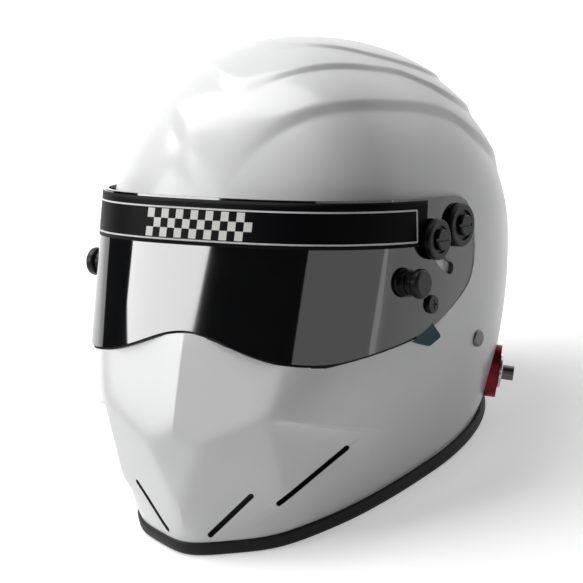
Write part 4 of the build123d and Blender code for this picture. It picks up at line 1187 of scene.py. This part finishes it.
straps = (band("webbing_left", ringed_line(), 1.0),
          band("webbing_right", evenly(strap_line(FREE_X)), -1.0))
under_right = STRAP_SAG - STRAP_THICK / 2 + RIB_HEIGHT
under_left = STRAP_SAG - 1.5 * STRAP_THICK + RIB_HEIGHT
threads = (thread_rows("thread_left", [(LOOP_X + past, under_left) for past in SEWN_LEFT], 1.0),
           thread_rows("thread_right", [(FREE_X + past, under_right) for past in SEWN_RIGHT],
                       -1.0))
webbing = Finish("black_webbing")
weave = webbing.bands("X", 260.0, Distortion=0.6) * webbing.noise(700.0, detail=3.0)
webbing.set(Base_Color=webbing.mix(weave, (0.008, 0.008, 0.009), (0.05, 0.05, 0.052)),
            Roughness=0.65 + 0.2 * webbing.noise(90.0), Sheen_Weight=0.2)
webbing.bump(weave, 0.5, 0.0004)
thread = Finish("bonded_thread")
thread.set(Base_Color=thread.ramp(thread.noise(500.0), (0.3, (0.02, 0.02, 0.022)),
                                  (0.7, (0.06, 0.06, 0.065))),
           Roughness=0.5 + 0.2 * thread.noise(300.0))
for strap, source in zip(straps, ("chin_strap_left", "chin_strap_right")):
    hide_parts(source)
webbing.wear(*straps)
thread.wear(*threads)
print("straps", [len(strap.data.polygons) for strap in straps])

# %% [markdown]
# The stage is a pale floor that runs up into a backdrop and glows to white far off, where
# rays from the camera, a mirror or a clear sheet see it. The key light stands at the
# wearer's front right, two more stand high on that side, a long low one at the front left
# and a faint one behind. So the white shell falls from bright to grey round its side, and
# the shield shows the lights as clear shapes.

# %% Floor, light and world
FLOOR_HALF = 30000.0
FLOOR_PROFILE = ((-30000.0, 0.0), (2200.0, 0.0), (2500.0, 60.0), (2700.0, 300.0),
                 (2750.0, 700.0), (2750.0, 5000.0))
GLOW = ((0.1, (0.42, 0.42, 0.42)), (0.4, (0.75, 0.75, 0.75)), (0.8, (1.0, 1.0, 1.0)))
GLOW_PER_METRE, WORLD_GLOW = 0.2, 0.03
LIT_POINT = Vector((0.0, 0.0, 0.15))
# Azimuth, elevation and roll in degrees, distance and size in metres, and power.
LAMPS = (("key", -52.0, 24.0, 0.0, 1.9, (0.86, 0.66), 14.0),
         ("left", -90.0, 45.0, 0.0, 2.0, (1.0, 0.7), 16.5),
         ("side", 60.0, 14.0, -23.0, 2.2, (3.3, 0.6), 5.0),
         ("top", -105.0, 70.0, 0.0, 2.0, (1.1, 1.1), 21.0),
         ("rear", 165.0, 30.0, 0.0, 2.4, (1.6, 1.2), 3.5))


def soft_light(name, azimuth, elevation, roll, distance, size, power):
    """A rectangular light on a sphere round the helmet, facing it, tilted by its roll."""
    a, e = np.radians(azimuth), np.radians(elevation)
    away = Vector((np.sin(a) * np.cos(e), -np.cos(a) * np.cos(e), np.sin(e)))
    lamp = bpy.data.lights.new(name, "AREA")
    lamp.shape, lamp.size, lamp.size_y, lamp.energy = "RECTANGLE", size[0], size[1], power
    made = bpy.data.objects.new(name, lamp)
    bpy.context.scene.collection.objects.link(made)
    turn = away.to_track_quat("Z", "Y").to_matrix() @ Matrix.Rotation(np.radians(roll), 3, "Z")
    made.matrix_world = Matrix.Translation(LIT_POINT + away * distance) @ turn.to_4x4()


floor_points = [(x, y, z) for x in (-FLOOR_HALF, FLOOR_HALF) for y, z in FLOOR_PROFILE]
stage = piece("stage", floor_points, grid_faces(2, len(FLOOR_PROFILE)), body=None,
              stand=Matrix.Identity(4))
pale = Finish("pale_floor")
rays = pale.node("ShaderNodeLightPath", {}, {})
seen = rays["Is Camera Ray"] + rays["Is Glossy Ray"] + rays["Is Transmission Ray"]
far_off = pale.node("ShaderNodeVectorMath", {"operation": "LENGTH"},
                    {"Vector": pale.place})["Value"]
glow = pale.ramp(far_off * GLOW_PER_METRE, *GLOW)
pale.set(Base_Color=(0.80, 0.80, 0.80), Roughness=0.55 + 0.1 * pale.noise(3.0),
         Emission_Color=pale.mix(seen.least(1.0), (0.0, 0.0, 0.0), glow),
         Emission_Strength=1.0)
pale.wear(stage)
for lamp in LAMPS:
    soft_light(*lamp)

world = bpy.data.worlds.new("studio")
world.use_nodes = True
background = world.node_tree.nodes["Background"]
background.inputs["Color"].default_value = (1.0, 1.0, 1.0, 1.0)
background.inputs["Strength"].default_value = WORLD_GLOW
bpy.context.scene.world = world
bpy.context.scene.view_settings.view_transform = "Standard"
print("stage lit")
